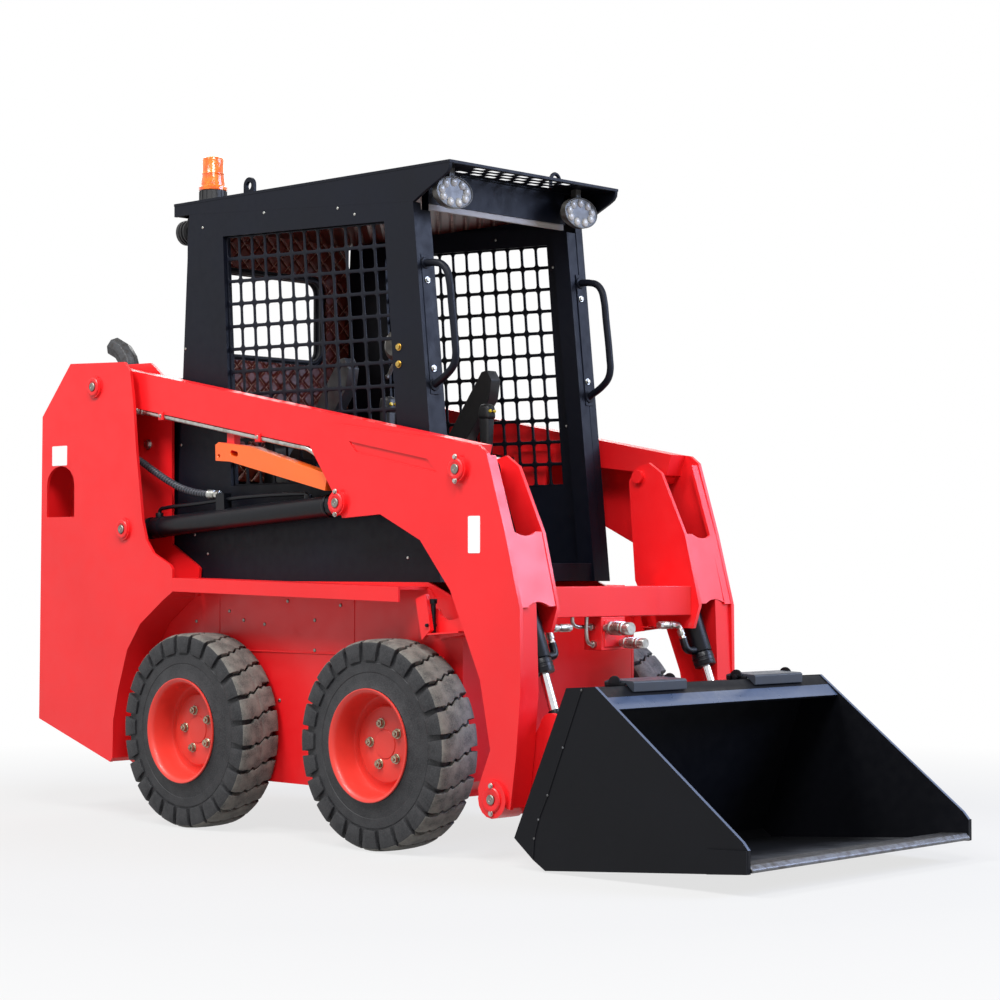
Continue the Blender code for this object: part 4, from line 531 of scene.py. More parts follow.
def bevelled(thing: Piece, width: float, segments: int = 2, angle: float = 30) -> Piece:
    """Round every edge that is sharper than an angle in degrees."""
    return modify(thing, "BEVEL", width=width, segments=segments, limit_method="ANGLE",
                  angle_limit=math.radians(angle), use_clamp_overlap=True, harden_normals=False)


def smoothed(thing: Piece, angle: float = 35) -> Piece:
    """Shade smooth up to an angle in degrees."""
    focus(thing)
    bpy.ops.object.shade_smooth_by_angle(angle=math.radians(angle))
    return thing


def weighted(thing: Piece) -> Piece:
    """Let the large faces rule the shading, so that flat panels stay flat beside rounded edges."""
    return modify(thing, "WEIGHTED_NORMAL", keep_sharp=True, weight=60)


def profile_line(name: str, points: Sequence[Point]) -> Piece:
    """Chain of edges, drawn by extruding one point after another."""
    thing = primitive("plane", name, size=0.01, location=points[0])
    settle(thing)
    edit(thing, mode="VERT")
    bpy.ops.mesh.merge(type="CENTER")
    for here, after in zip(points, points[1:]):
        step = Vector(after) - Vector(here)
        extrude(step)
    return leave()


def spun(name: str, points: Sequence[Point], centre: Point, axis: Point, steps: int = 64) -> Piece:
    """Turned shell: a profile line spun a full turn, welded, with its faces pointing outwards."""
    thing = profile_line(name, points)
    edit(thing, mode="VERT")
    bpy.ops.mesh.spin(steps=steps, angle=math.tau, center=centre, axis=axis)
    bpy.ops.mesh.select_all(action="SELECT")
    bpy.ops.mesh.remove_doubles(threshold=0.00002)
    bpy.ops.mesh.normals_make_consistent(inside=False)
    return leave()


def turned(name: str, centre: Vector, axis: str, pairs: Sequence[Pair], steps: int = 32, side: int = 1,
           angle: float = 30) -> Piece:
    """Turned shape from pairs of radius and distance along an axis.

    Args:
        name: the new object's name.
        centre: where the distances start.
        axis: X, Y or Z.
        pairs: radius and distance of each corner of the profile.
        steps: facets round the shape.
        side: -1 when the distances run the other way.
        angle: edges sharper than this many degrees stay sharp.

    Returns:
        The shape, shaded smooth.
    """
    way = Vector([float(letter == axis) for letter in "XYZ"])
    across = Vector((1, 0, 0)) if axis == "Y" else Vector((0, 1, 0))
    points = [centre + across * radius + way * (side * along) for radius, along in pairs]
    return smoothed(spun(name, points, centre, way, steps), angle)


def block(name: str, low: Point, high: Point, edge: float) -> Piece:
    """Block between two corners with rounded edges."""
    return bevelled(box(name, low, high), edge, 2, 40)


def bar(name: str, start: Point, end: Point, radius: float, sides: int = 24, edge: float = 0.0012,
        segments: int = 2) -> Piece:
    """Round bar with broken edges."""
    return bevelled(rod(name, start, end, radius, sides), edge, segments, 50)


def flat_plate(name: str, outline: Sequence[Point], way: Point) -> Piece:
    """Plate: a closed outline, filled and extruded along a vector."""
    thing = profile_line(name, list(outline))
    edit(thing, mode="VERT")
    bpy.ops.mesh.edge_face_add()
    bpy.ops.mesh.select_all(action="SELECT")
    extrude(way)
    bpy.ops.mesh.select_all(action="SELECT")
    bpy.ops.mesh.normals_make_consistent(inside=False)
    return leave()


def copied(thing: Piece, name: str, matrix: Matrix) -> Piece:
    """Copy with a mesh of its own, moved by a matrix."""
    twin = thing.copy()
    twin.data = thing.data.copy()
    twin.name = name
    bpy.context.scene.collection.objects.link(twin)
    twin.data.transform(matrix)
    if matrix.determinant() < 0:
        twin.data.flip_normals()
    return twin


def joined(name: str, things: Sequence[Piece]) -> Piece:
    """Join meshes into one object."""
    deselect_all()
    for thing in things:
        thing.select_set(True)
    bpy.context.view_layer.objects.active = things[0]
    bpy.ops.object.join()
    things[0].name = name
    return things[0]


def repeated(name: str, pattern: Piece, places: Sequence[Matrix]) -> Piece:
    """Join copies of a pattern at several places, and drop the pattern."""
    copies = [copied(pattern, "copy", place) for place in places]
    bpy.data.objects.remove(pattern)
    return joined(name, copies)


def tube(name: str, points: Sequence[Point], radius: float, smooth: bool = False, sides: int = 5) -> Piece:
    """Round bar along points, made from a bevelled curve and turned into a mesh.

    Args:
        name: the new object's name.
        points: places along the middle line.
        radius: half the thickness.
        smooth: True for a flowing line, False for straight runs.
        sides: resolution of the round section.

    Returns:
        The mesh object.
    """
    curve = bpy.data.curves.new(name, "CURVE")
    curve.dimensions = "3D"
    curve.bevel_depth = radius
    curve.bevel_resolution = sides
    curve.use_fill_caps = True
    curve.resolution_u = 8
    spline = curve.splines.new("BEZIER" if smooth else "POLY")
    target = spline.bezier_points if smooth else spline.points
    target.add(len(points) - 1)
    for point, place in zip(target, points):
        if smooth:
            point.co = place
            point.handle_left_type = point.handle_right_type = "AUTO"
        else:
            point.co = (*place, 1)
    thing = bpy.data.objects.new(name, curve)
    bpy.context.scene.collection.objects.link(thing)
    focus(thing)
    bpy.ops.object.convert(target="MESH")
    return smoothed(bpy.context.object, 50)


def packed_copy(node: str, name: str) -> Piece:
    """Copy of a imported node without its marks, welded and with its flat faces merged."""
    thing = copied(bpy.data.objects[node], name, Matrix.Identity(4))
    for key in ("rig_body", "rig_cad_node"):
        if key in thing:
            del thing[key]
    thing.parent = None
    edit(thing)
    bpy.ops.mesh.remove_doubles(threshold=0.00001)
    bpy.ops.mesh.dissolve_limited(angle_limit=math.radians(1.0), delimit={"NORMAL"})
    return leave()


class Dresser:
    """Gives finished pieces their material and body."""

    def __init__(self, frame: dict) -> None:
        """Keep the frame and start the finishes."""
        self.nodes = frame["nodes"]
        self.materials: dict[object, bpy.types.Material] = {}

    def material(self, finish: object) -> bpy.types.Material:
        """Material of a finish, made once."""
        if finish not in self.materials:
            self.materials[finish] = finish.build()
        return self.materials[finish]

    def paint(self, thing: Piece, *finishes: object) -> None:
        """Put finishes into a piece's material slots; faces keep their slot numbers."""
        numbers = [face.material_index for face in thing.data.polygons]
        thing.data.materials.clear()
        for finish in finishes:
            thing.data.materials.append(self.material(finish))
        last = len(finishes) - 1
        for face, number in zip(thing.data.polygons, numbers):
            face.material_index = min(number, last)

    def hand_over(self, thing: Piece, body: str, finishes: Sequence[object],
                  replaces: Sequence[str] = ()) -> Piece:
        """Finish a piece: paint it, put it on its body and hide the nodes that it stands for.

        Args:
            thing: the piece.
            body: the body that it rides on.
            finishes: one for each material slot of the mesh.
            replaces: nodes that it hides.

        Returns:
            The piece.
        """
        self.paint(thing, *finishes)
        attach(thing, body)
        if replaces:
            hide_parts(*replaces)
        LOG.info("%s: %d faces on %s", thing.name, len(thing.data.polygons), body)
        return thing

    def repaint(self, thing: Piece, finishes: Sequence[object],
                *picks: Callable[[bpy.types.MeshPolygon], bool]) -> None:
        """Give the faces that each test names a further finish.

        Args:
            thing: the piece.
            finishes: one for each test.
            picks: tests for a face.
        """
        for number, (finish, pick) in enumerate(zip(finishes, picks), 1):
            thing.data.materials.append(self.material(finish))
            for face in thing.data.polygons:
                if pick(face):
                    face.material_index = number

    def soften(self, node: str, finish: object) -> Piece:
        """Replace a node by its own welded shape with rounded edges."""
        thing = bevelled(packed_copy(node, f"{node}_dressed"), 0.0025, 2, 35)
        weighted(smoothed(thing, 40))
        return self.hand_over(thing, self.nodes[node]["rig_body"], [finish], [node])


# Finishes of this machine

RED = Enamel("red_enamel", "EE1A20", "E6161C", roughness=0.40, coat=0.10)
RIM_RED = Enamel("wheel_enamel", "E44034", "DA382E", roughness=0.42, coat=0.1)
ORANGE = Enamel("orange_enamel", "F96A1C", "F26216")
CAB_BLACK = PowderCoat("cab_powder_coat", "0A0E1A", "080B14", roughness=0.48, specular=0.16)
BUCKET_BLACK = PowderCoat("bucket_powder_coat", "0A0B0F", "0D0E13", roughness=0.46, specular=0.14)
# bluish grey painted on the bucket's forward- and upward-facing lip and edges: a painted reflection of the sky, not a
# coat of their own
BUCKET_LIP_PAINTED_REFLECTION = PowderCoat("bucket_lip_painted_sky_reflection", "38455C", "3F4D66", roughness=0.32, specular=0.6)
CYLINDER_BLACK = PowderCoat("cylinder_paint", "0A0B10", "0D0F15", roughness=0.34, specular=0.22)
COVER_COAT = PowderCoat("latch_cover_coat", "2C323C", "262B34", roughness=0.45, specular=0.4)
SCOURED = ScouredCoat("scoured_bucket_floor", "0B0C0F", "5A5C60", (0.95, 1.42))
CHROME = Metal("hard_chrome", "D9DADC", "C8C9CC", roughness=0.10)
ZINC = Metal("zinc_plated_steel", "B9BAB6", "8E8C84", roughness=0.32)
PIN_STEEL = Metal("greased_pin_steel", "8C8781", "6F6A64", roughness=0.42, marks=0.00008)
NUT_STEEL = Metal("nickelled_steel", "A79C8A", "7B6F5E", roughness=0.30)
BRASS = Metal("brass_fitting", "C7A75A", "94783A", roughness=0.28)
IRON = Metal("cast_iron", "4A4B4D", "3A3633", roughness=0.55, marks=0.0002)
EDGE_STEEL = Metal("scoured_steel", "6C6D70", "4A4642", roughness=0.42, marks=0.0001)
# tread rubber: a heavy pale bloom that is partly dust and partly painted light on the tread faces turned to the
# lamps; the sidewalls stay dark
TREAD_RUBBER_DUST_AND_LIGHT = Rubber("tread_rubber_dust_and_painted_light", "4A4A48", "85827B", pale_dust_and_light_share=0.8)
SIDE_RUBBER = Rubber("sidewall_rubber", "1B1C1F", "4A4A4C", pale_dust_and_light_share=0.3, roughness=0.6, grain=0.0002)
BLACK_RUBBER = Rubber("hose_rubber", "15161A", "34363C", pale_dust_and_light_share=0.3, roughness=0.55, grain=0.0001)
HOSE_WRAP = Plastic("spiral_hose_guard", "3A3D46", roughness=0.45)
BLACK_PLASTIC = Plastic("black_moulded_plastic", "101114")
YELLOW_PLASTIC = Plastic("yellow_button", "E8C81E", roughness=0.35)
LABEL = Plastic("blank_vinyl_label", "F2F0EE", roughness=0.4)
SEAT_VINYL = Plastic("black_seat_vinyl", "121315", roughness=0.5, grain=0.0003)
LED_FACE = Plastic("lamp_reflector", "A8A196", roughness=0.3)
LED_LENS = Plastic("lamp_lens_dome", "B2ADA4", roughness=0.1)
LAMP_RIM = Plastic("lamp_bezel", "4A4844", roughness=0.35)
TRIM = Plastic("header_trim", "8E8780", roughness=0.5)
AMBER = Lens("amber_beacon_lens", "FF7A06", "E85A04")
QUILT = Quilt("quilted_rust_vinyl", "6E2412", "4E170B", "C9A08A")


@dataclass
class Wheel:
    """One wheel: a solid tyre with staggered lugs and a deep dished rim with five nuts."""

    place: str
    side_name: str
    side: int
    centre_x: float
    axle_z: float = 0.300
    tread_radius: float = 0.300
    middle_y: float = 0.4455
    lug_count: int = 24
    nut_count: int = 5
    nut_circle: float = 0.061
    # share of the nuts' pitch that the first one is turned by
    nut_offset: float = 0.2
    disc_y: float = 0.4550
    spin_steps: int = 96
    # lug rows from the tread's middle to the foot of the shoulder: distance outwards, drop,
    # lag of the lug along the tread, and its width
    lug_rows: Sequence[tuple[float, float, float, float]] = (
        (-0.001, 0.0000, 0.0200, 0.0712),
        (0.012, 0.0002, 0.0095, 0.0705),
        (0.025, 0.0006, 0.0135, 0.0695),
        (0.033, 0.0008, 0.0020, 0.0670),
        (0.042, 0.0012, 0.0020, 0.0635),
        (0.058, 0.0025, 0.0000, 0.0635),
        (0.0685, 0.0080, 0.0000, 0.0635),
        (0.0715, 0.0180, 0.0000, 0.0630),
        (0.0722, 0.0400, 0.0000, 0.0590),
        (0.0715, 0.0610, 0.0000, 0.0550),
    )
    sidewall: Sequence[Pair] = (
        (0.1505, 0.0735), (0.1620, 0.0738), (0.1660, 0.0712), (0.1900, 0.0668), (0.2060, 0.0650),
        (0.2075, 0.0665), (0.2330, 0.0665), (0.2350, 0.0650), (0.2420, 0.0645), (0.2760, 0.0600),
        (0.2830, 0.0480), (0.2830, 0.0160),
    )

    def lug(self) -> Piece:
        """Model one lug of the outer row at the top of the tyre, then bend it round the tread."""
        thing = primitive("grid", "lug", x_subdivisions=3, y_subdivisions=len(self.lug_rows) - 1, size=1)
        rows = len(self.lug_rows)
        mesh = edit(thing)
        for vert in mesh.verts:
            number = round((vert.co.y + 0.5) * (rows - 1))
            out, drop, lag, width = self.lug_rows[number]
            vert.co = Vector((vert.co.x * width + lag, out, -drop))
        bmesh.update_edit_mesh(thing.data)
        leave()
        outwards(thing)
        if thing.data.polygons[0].normal.z < 0:
            thing.data.flip_normals()
        modify(thing, "SOLIDIFY", thickness=0.016, offset=-1, use_even_offset=True)
        bevelled(thing, 0.0022, 2, 40)
        for vert in thing.data.vertices:
            radius = self.tread_radius + vert.co.z
            angle = vert.co.x / self.tread_radius
            vert.co = Vector((radius * math.sin(angle), vert.co.y, radius * math.cos(angle)))
        return outwards(thing)

    def tyre(self, dresser: Dresser) -> Piece:
        """Casing and both rows of lugs, joined."""
        rubbers = [dresser.material(TREAD_RUBBER_DUST_AND_LIGHT), dresser.material(SIDE_RUBBER)]
        mirrored = [(radius, -y) for radius, y in self.sidewall[::-1]]
        profile = [*self.sidewall, *mirrored, self.sidewall[0]]
        casing = turned("casing", Vector(), "Y", profile, self.spin_steps, angle=32)
        pattern = self.lug()
        smoothed(pattern, 32)
        # outer tread faces take the pale rubber, partly dust and partly painted light; lug sides and the casing take
        # the dark sidewall rubber
        for face in pattern.data.polygons:
            middle = Vector((face.center.x, 0, face.center.z))
            face.material_index = 0 if middle.length > self.tread_radius - 0.010 else 1
        for thing in (casing, pattern):
            for rubber in rubbers:
                thing.data.materials.append(rubber)
        for face in casing.data.polygons:
            face.material_index = 1
        places = []
        for number in range(self.lug_count):
            for share, face in ((0, 0), (0.5, math.pi)):
                turn = Matrix.Rotation((number + share) * math.tau / self.lug_count, 4, "Y")
                places.append(turn @ Matrix.Rotation(face, 4, "Z"))
        return joined("tyre", [casing, repeated("lugs", pattern, places)])

    def nut(self) -> Piece:
        """Wheel nut with a flange, rounded corners and the stud's end, facing +y."""
        washer = bar("washer", (0, -0.001, 0), (0, 0.003, 0), 0.0150, edge=0.0008, segments=1)
        head = bar("head", (0, 0.002, 0), (0, 0.0125, 0), 0.0122, 6)
        stud = bar("stud", (0, 0.010, 0), (0, 0.0175, 0), 0.0058, 16)
        return joined("nut", [washer, head, stud])

    def rim(self) -> Piece:
        """Pressed rim with its dished disc and hub, turned as one."""
        profile = [
            (0.0, 0.4570), (0.0400, 0.4570), (0.0412, 0.4558), (0.0418, 0.4545), (0.0430, 0.4550),
            (0.1060, 0.4550), (0.1095, 0.4538), (0.1115, 0.4512), (0.1135, 0.4492), (0.1200, 0.4470),
            (0.1330, 0.4440), (0.1395, 0.4460), (0.1425, 0.4540), (0.1432, 0.4800), (0.1440, 0.5080),
            (0.1465, 0.5170), (0.1500, 0.5225), (0.1550, 0.5262), (0.1590, 0.5278), (0.1608, 0.5270),
            (0.1612, 0.5245), (0.1604, 0.5215), (0.1560, 0.5205), (0.1500, 0.5205), (0.1500, 0.3730),
            (0.1440, 0.3720), (0.1430, 0.4300), (0.0750, 0.4320), (0.0700, 0.4250), (0.0281, 0.4250),
            (0.0281, 0.3625), (0.0, 0.3625),
        ]
        return turned("rim", Vector((0, -self.middle_y, 0)), "Y", profile, self.spin_steps, angle=35)

    def build(self, dresser: Dresser) -> None:
        """Build and hand over the tyre, the rim and its nuts."""
        place = Matrix.Translation((self.centre_x, self.side * self.middle_y, self.axle_z))
        if self.side < 0:
            place = place @ Matrix.Rotation(math.pi, 4, "Z")
        name = f"{self.place}_{self.side_name}"
        body = f"wheel_{name}"
        tyre = self.tyre(dresser)
        tyre.data.transform(place)
        tyre.name = f"tyre_{name}_lugged"
        dresser.hand_over(tyre, body, [TREAD_RUBBER_DUST_AND_LIGHT, SIDE_RUBBER], [f"tyre_{name}"])
        rim = self.rim()
        rim.data.transform(place)
        rim.name = f"rim_{name}_pressed"
        dresser.hand_over(rim, body, [RIM_RED], [f"rim_{name}"])
        seat_of_nut = Matrix.Translation((0, self.disc_y - self.middle_y, self.nut_circle))
        turns = [Matrix.Rotation(math.tau * (number + self.nut_offset) / self.nut_count, 4, "Y")
                 for number in range(self.nut_count)]
        nuts = repeated(f"nuts_{name}", self.nut(), [turn @ seat_of_nut for turn in turns])
        nuts.data.transform(place)
        smoothed(nuts, 35)
        dresser.hand_over(nuts, body, [NUT_STEEL])


@dataclass
class SideGrille:
    """Punched grille of one cab window: tall holes with rounded corners between flat bars."""

    side_name: str
    columns: int = 12
    rows: int = 11
    bar: float = 0.0100
    corner: float = 0.009
    thickness: float = 0.0055
    # the window's corners: front top, front foot, rear foot, rear top
    corners: Sequence[Pair] = ((0.742, 1.812), (0.812, 1.056), (0.046, 1.056), (0.000, 1.842))

    def cell(self) -> Piece:
        """One cell of the grille, one unit wide and high, with its hole."""
        width = (self.corners[1][0] - self.corners[2][0]) / self.columns
        height = (self.corners[0][1] - self.corners[1][1]) / self.rows
        reach = (0.5 - self.bar / width / 2, 0.5 - self.bar / height / 2)
        curve = (self.corner / width, self.corner / height)
        cell = primitive("circle", "grille_cell", vertices=16, radius=0.4, fill_type="NOTHING")
        mesh = edit(cell, mode="VERT")
        extrude((0, 0, 0))
        mesh = bmesh.from_edit_mesh(cell.data)
        for vert in mesh.verts:
            number = round(math.atan2(vert.co.y, vert.co.x) / math.tau * 16) % 16
            quarter, step = divmod(number, 4)
            turn = math.radians(quarter * 90)
            way = (math.cos(turn) - math.sin(turn), math.sin(turn) + math.cos(turn))
            bend = turn + math.radians(step * 30)
            if vert.select:
                outer = [(1, 0), (1, 1), (1, 1), (0, 1)][step]
                across = (0.5 * way[0], 0.5 * way[1])
                hole = (reach[0] - curve[0], reach[1] - curve[1])
                first = outer if quarter % 2 == 0 else (outer[1], outer[0])
                vert.co.x = across[0] if first[0] else hole[0] * way[0]
                vert.co.y = across[1] if first[1] else hole[1] * way[1]
            else:
                vert.co.x = (reach[0] - curve[0]) * way[0] + curve[0] * math.cos(bend)
                vert.co.y = (reach[1] - curve[1]) * way[1] + curve[1] * math.sin(bend)
        bmesh.update_edit_mesh(cell.data)
        return leave()

    def build(self, dresser: Dresser) -> None:
        """Set the cells in rows, fit them to the window and give the sheet its thickness."""
        low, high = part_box(f"side_mesh_{self.side_name}")
        places = [Matrix.Translation((i + 0.5, j + 0.5, 0)) for i in range(self.columns) for j in range(self.rows)]
        sheet = repeated(f"window_grille_{self.side_name}", self.cell(), places)
        edit(sheet, mode="VERT")
        bpy.ops.mesh.remove_doubles(threshold=0.0005)
        leave()
        front_top, front_foot, rear_foot, rear_top = [Vector(corner) for corner in self.corners]
        for vert in sheet.data.vertices:
            along, up = vert.co.x / self.columns, vert.co.y / self.rows
            foot = rear_foot.lerp(front_foot, along)
            place = foot.lerp(rear_top.lerp(front_top, along), up)
            vert.co = at(place.x, (low[1] + high[1]) / 2, place.y)
        outwards(sheet)
        modify(sheet, "SOLIDIFY", thickness=self.thickness, offset=0)
        bevelled(sheet, 0.0014, 1, 50)
        weighted(smoothed(sheet, 50))
        node = f"side_mesh_{self.side_name}"
        dresser.hand_over(sheet, "frame", [CAB_BLACK], [node])


@dataclass
class Lamps:
    """Oval work lamps with a ring of nine domes, the round rear lamp and the amber beacon."""

    lamp_x: float = 0.945
    lamp_y: float = 0.272
    lamp_z: float = 1.885
    half_width: float = 0.074
    half_height: float = 0.047
    depth: float = 0.045
    beacon_place: Pair = (-0.190, -0.250)

    def work_lamp(self, side_name: str, side: int, dresser: Dresser) -> None:
        """Model one work lamp: shell, bezel, domes and bracket."""
        centre = at(self.lamp_x, side * self.lamp_y, self.lamp_z)
        shell = primitive("cylinder", "shell", vertices=40, radius=1, depth=1, rotation=(0, math.pi / 2, 0))
        shell.scale = (self.half_height, self.half_width, self.depth)
        settle(shell)
        front = max(vert.co.x for vert in shell.data.vertices)
        edit(shell, lambda face: face.normal.x > 0.9)
        bpy.ops.mesh.inset(thickness=0.0035)
        extrude((-0.003, 0, 0))
        bpy.ops.mesh.inset(thickness=0.002)
        leave()
        edit(shell, lambda face: face.normal.x < -0.9)
        bpy.ops.transform.translate(value=(0.026, 0, 0))
        extrude((-0.026, 0, 0))
        bpy.ops.transform.resize(value=(1, 0.66, 0.66))
        leave()
        bevelled(shell, 0.0022, 2, 40)
        for face in shell.data.polygons:
            inner = Vector((face.center.y / self.half_width, face.center.z / self.half_height)).length < 0.94
            face.material_index = 1 if inner and face.center.x > front - 0.008 else 0
        shell.data.transform(Matrix.Translation(centre - Vector((self.depth / 2, 0, 0))))
        weighted(smoothed(shell, 40))
        name = f"front_lamp_{side_name}"
        pattern = primitive("uv_sphere", "dome", segments=16, ring_count=10, radius=0.0135)
        pattern.scale = (0.55, 1, 1)
        settle(pattern)
        edit(pattern, lambda face: face.calc_center_median().x > -0.001)
        bpy.ops.mesh.select_all(action="INVERT")
        bpy.ops.mesh.delete(type="FACE")
        leave()
        turns = [math.tau * number / 9 + 0.2 for number in range(9)]
        places = [Matrix.Translation(centre + Vector((-0.0035, 0.051 * math.cos(turn), 0.0300 * math.sin(turn))))
                  for turn in turns]
        domes = repeated(f"lamp_domes_{side_name}", pattern, places)
        modify(domes, "SOLIDIFY", thickness=0.0012, offset=-1)
        smoothed(domes, 60)
        dresser.hand_over(domes, "frame", [LED_LENS])
        strap = block("strap", at(self.lamp_x - 0.034, side * self.lamp_y - 0.011, self.lamp_z + 0.040),
                      at(self.lamp_x - 0.012, side * self.lamp_y + 0.011, 1.9588), 0.0015)
        for face in strap.data.polygons:
            face.material_index = 2
        lamp = joined(f"work_lamp_{side_name}", [shell, strap])
        dresser.hand_over(lamp, "frame", [LAMP_RIM, LED_FACE, CAB_BLACK], [name])

    def rear_lamp(self, dresser: Dresser) -> None:
        """Round rear work lamp with a finned back and a domed lens."""
        y, z, x = -0.270, 1.892, -0.306
        profile = [(0, 0.006), (0.022, 0.005), (0.033, 0.001), (0.036, -0.001), (0.040, -0.001), (0.041, 0.004),
                   (0.041, 0.013), (0.038, 0.015), (0.038, 0.019), (0.041, 0.021), (0.041, 0.025),
                   (0.037, 0.027), (0.037, 0.031), (0.039, 0.033), (0.039, 0.037), (0.031, 0.043), (0, 0.043)]
        lamp = turned("rear_work_lamp", at(x, y, z), "X", profile, 40)
        for face in lamp.data.polygons:
            reach = Vector((face.center.y - y, face.center.z - z)).length
            face.material_index = 1 if reach < 0.032 and face.center.x < AXLE_X + x + 0.006 else 0
        stem = block("stem", at(x + 0.040, y - 0.010, z - 0.010), at(-0.219, y + 0.010, z + 0.010), 0.002)
        lamp = joined("rear_work_lamp", [lamp, stem])
        dresser.hand_over(lamp, "frame", [BLACK_PLASTIC, LED_LENS], ["rear_lamp"])

    def beacon(self, dresser: Dresser) -> None:
        """Amber beacon: ribbed black foot, amber flange, coned band and round cap."""
        x, y = self.beacon_place
        low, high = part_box("beacon")
        height = high[2] - low[2]
        foot = turned("foot", at(x, y, low[2]), "Z", (
            (0, 0), (0.043, 0), (0.045, 0.002), (0.043, 0.048), (0.040, 0.050), (0, 0.050)))
        rib = box("rib", at(x - 0.0012, y + 0.040, low[2] + 0.003), at(x + 0.0012, y + 0.0455, low[2] + 0.046))
        axis = Matrix.Translation(at(x, y, 0))
        turns = [axis @ Matrix.Rotation(math.tau * number / 16, 4, "Z") @ axis.inverted() for number in range(16)]
        foot = joined("beacon_foot", [foot, repeated("ribs", rib, turns)])
        dresser.hand_over(foot, "frame", [BLACK_PLASTIC])
        profile = ((0, 0.048), (0.044, 0.048), (0.0458, 0.050), (0.0458, 0.060), (0.043, 0.062), (0.040, 0.064),
                   (0.0385, 0.080), (0.0350, 0.100), (0.0362, 0.102), (0.0362, 0.105), (0.0350, 0.107),
                   (0.0350, 0.148), (0.0335, 0.154), (0.0280, 0.158), (0.0120, height - 0.001), (0, height - 0.001))
        lens = turned("beacon_lens", at(x, y, low[2]), "Z", profile, 48, angle=35)
        dresser.hand_over(lens, "frame", [AMBER], ["beacon"])

    def build(self, dresser: Dresser) -> None:
        """Build all the lamps."""
        for side_name, side in SIDES.items():
            self.work_lamp(side_name, side, dresser)
        self.rear_lamp(dresser)
        self.beacon(dresser)


class Fixing(Enum):
    """How a small fixing looks."""

    HEX = "hexagon head on a washer"
    ROUND = "low round head"


@dataclass
class Fasteners:
    """Bolt heads, modelled once for each kind and copied to their places."""

    name: str
    body: str
    slot: str
    finish: object
    kind: Fixing = Fixing.HEX
    radius: float = 0.008

    def pattern(self) -> Piece:
        """One head that stands on the origin and looks along z."""
        if self.kind is Fixing.ROUND:
            head = rod("head", (0, 0, -0.001), (0, 0, self.radius * 0.45), self.radius, 16, self.radius * 0.8)
            return smoothed(bevelled(head, self.radius * 0.12, 2, 30), 40)
        washer = rod("washer", (0, 0, -0.001), (0, 0, self.radius * 0.22), self.radius * 1.3, 20)
        head = rod("head", (0, 0, 0), (0, 0, self.radius * 0.85), self.radius, 6)
        bevelled(head, self.radius * 0.12, 2, 50)
        bevelled(washer, self.radius * 0.06, 1, 50)
        return smoothed(joined("bolt", [washer, head]), 35)

    def build(self, dresser: Dresser, places: Sequence[tuple[Vector, Point]]) -> None:
        """Copy the head to each place.

        Args:
            dresser: gives the piece its finish and body.
            places: foot of each head and the way that it looks.
        """
        seats = [Matrix.Translation(foot) @ Vector(way).to_track_quat("Z", "Y").to_matrix().to_4x4()
                 for foot, way in places]
        heads = repeated(self.name, self.pattern(), seats)
        dresser.hand_over(heads, self.body, [self.finish])


@dataclass
class PinHead:
    """Pin at a joint: welded collar, keeper ear with two small bolts, and the pin's own grey end."""

    name: str
    body: str
    slot: str
    centre: Pair
    side: int
    face_y: float
    collar: float = 0.030
    pin: float = 0.0145
    keeper: bool = True

    def build(self, dresser: Dresser) -> None:
        """Turn the collar and the pin, and set the keeper's bolts."""
        x, z = self.centre
        way = (0, self.side, 0)
        face = at(x, self.side * self.face_y, z)
        pin, collar = self.pin, self.collar
        ring = turned("collar", face, "Y", (
            (pin, -0.001), (collar, -0.001), (collar, 0.003), (collar - 0.003, 0.0055), (pin + 0.006, 0.0060),
            (pin + 0.002, 0.0040), (pin, 0.0035), (pin, -0.001)), 40, self.side)
        if self.keeper:
            ear = block("ear", at(x - 0.008, self.side * (self.face_y - 0.001), z - collar - 0.009),
                        at(x + 0.008, self.side * (self.face_y + 0.0042), z + collar + 0.009), 0.003)
            ring = joined("collar", [ring, ear])
        ring.name = f"{self.name}_collar"
        dresser.hand_over(ring, self.body, [RED])
        end = turned(f"{self.name}_end", face, "Y", (
            (0, 0.0085), (0.0035, 0.0085), (0.0042, 0.0076), (0.0052, 0.0085), (pin - 0.0025, 0.0085),
            (pin - 0.0006, 0.0065), (pin - 0.0006, 0.001), (0, 0.001)), 32, self.side)
        dresser.hand_over(end, self.body, [PIN_STEEL])
        if self.keeper:
            places = [(at(x, self.side * (self.face_y + 0.004), z + up * (collar + 0.003)), way)
                      for up in (-1, 1)]
            Fasteners(f"{self.name}_bolts", self.body, self.slot, ZINC, radius=0.0062).build(dresser, places)


def pin_heads(dresser: Dresser) -> None:
    """Dress every pin of the linkage that shows on an outer face."""
    for side_name, side in SIDES.items():
        for name, body, part, centre, face, collar, keeper in (
                ("arm_pivot", "frame", "tower", (-0.502, 1.388), TOWER_FACE, 0.030, False),
                ("lift_pin", "frame", "tower", (-0.343, 0.924), TOWER_FACE, 0.030, False),
                ("lift_arm_pin", "loader_arms", "arm", (0.658, 0.989), ARM_FACE, 0.030, True),
                ("tilt_arm_pin", "loader_arms", "arm", (1.151, 1.073), ARM_FACE, 0.030, True),
                ("bucket_pin", "loader_arms", "arm", (1.286, 0.175), FOOT_FACE, 0.034, True)):
            PinHead(f"{name}_{side_name}", body, f"{part}_{side_name}", centre, side, face, collar,
                    keeper=keeper).build(dresser)


def carved(thing: Piece, cutter: Piece) -> Piece:
    """Cut one shape out of another and drop the cutter."""
    modify(thing, "BOOLEAN", operation="DIFFERENCE", object=cutter, solver="EXACT")
    bpy.data.objects.remove(cutter)
    return thing


def hexagon(name: str, start: Point, end: Point, radius: float) -> Piece:
    """Short six-sided bar with broken corners."""
    return bevelled(rod(name, start, end, radius, 6), radius * 0.1, 2, 50)


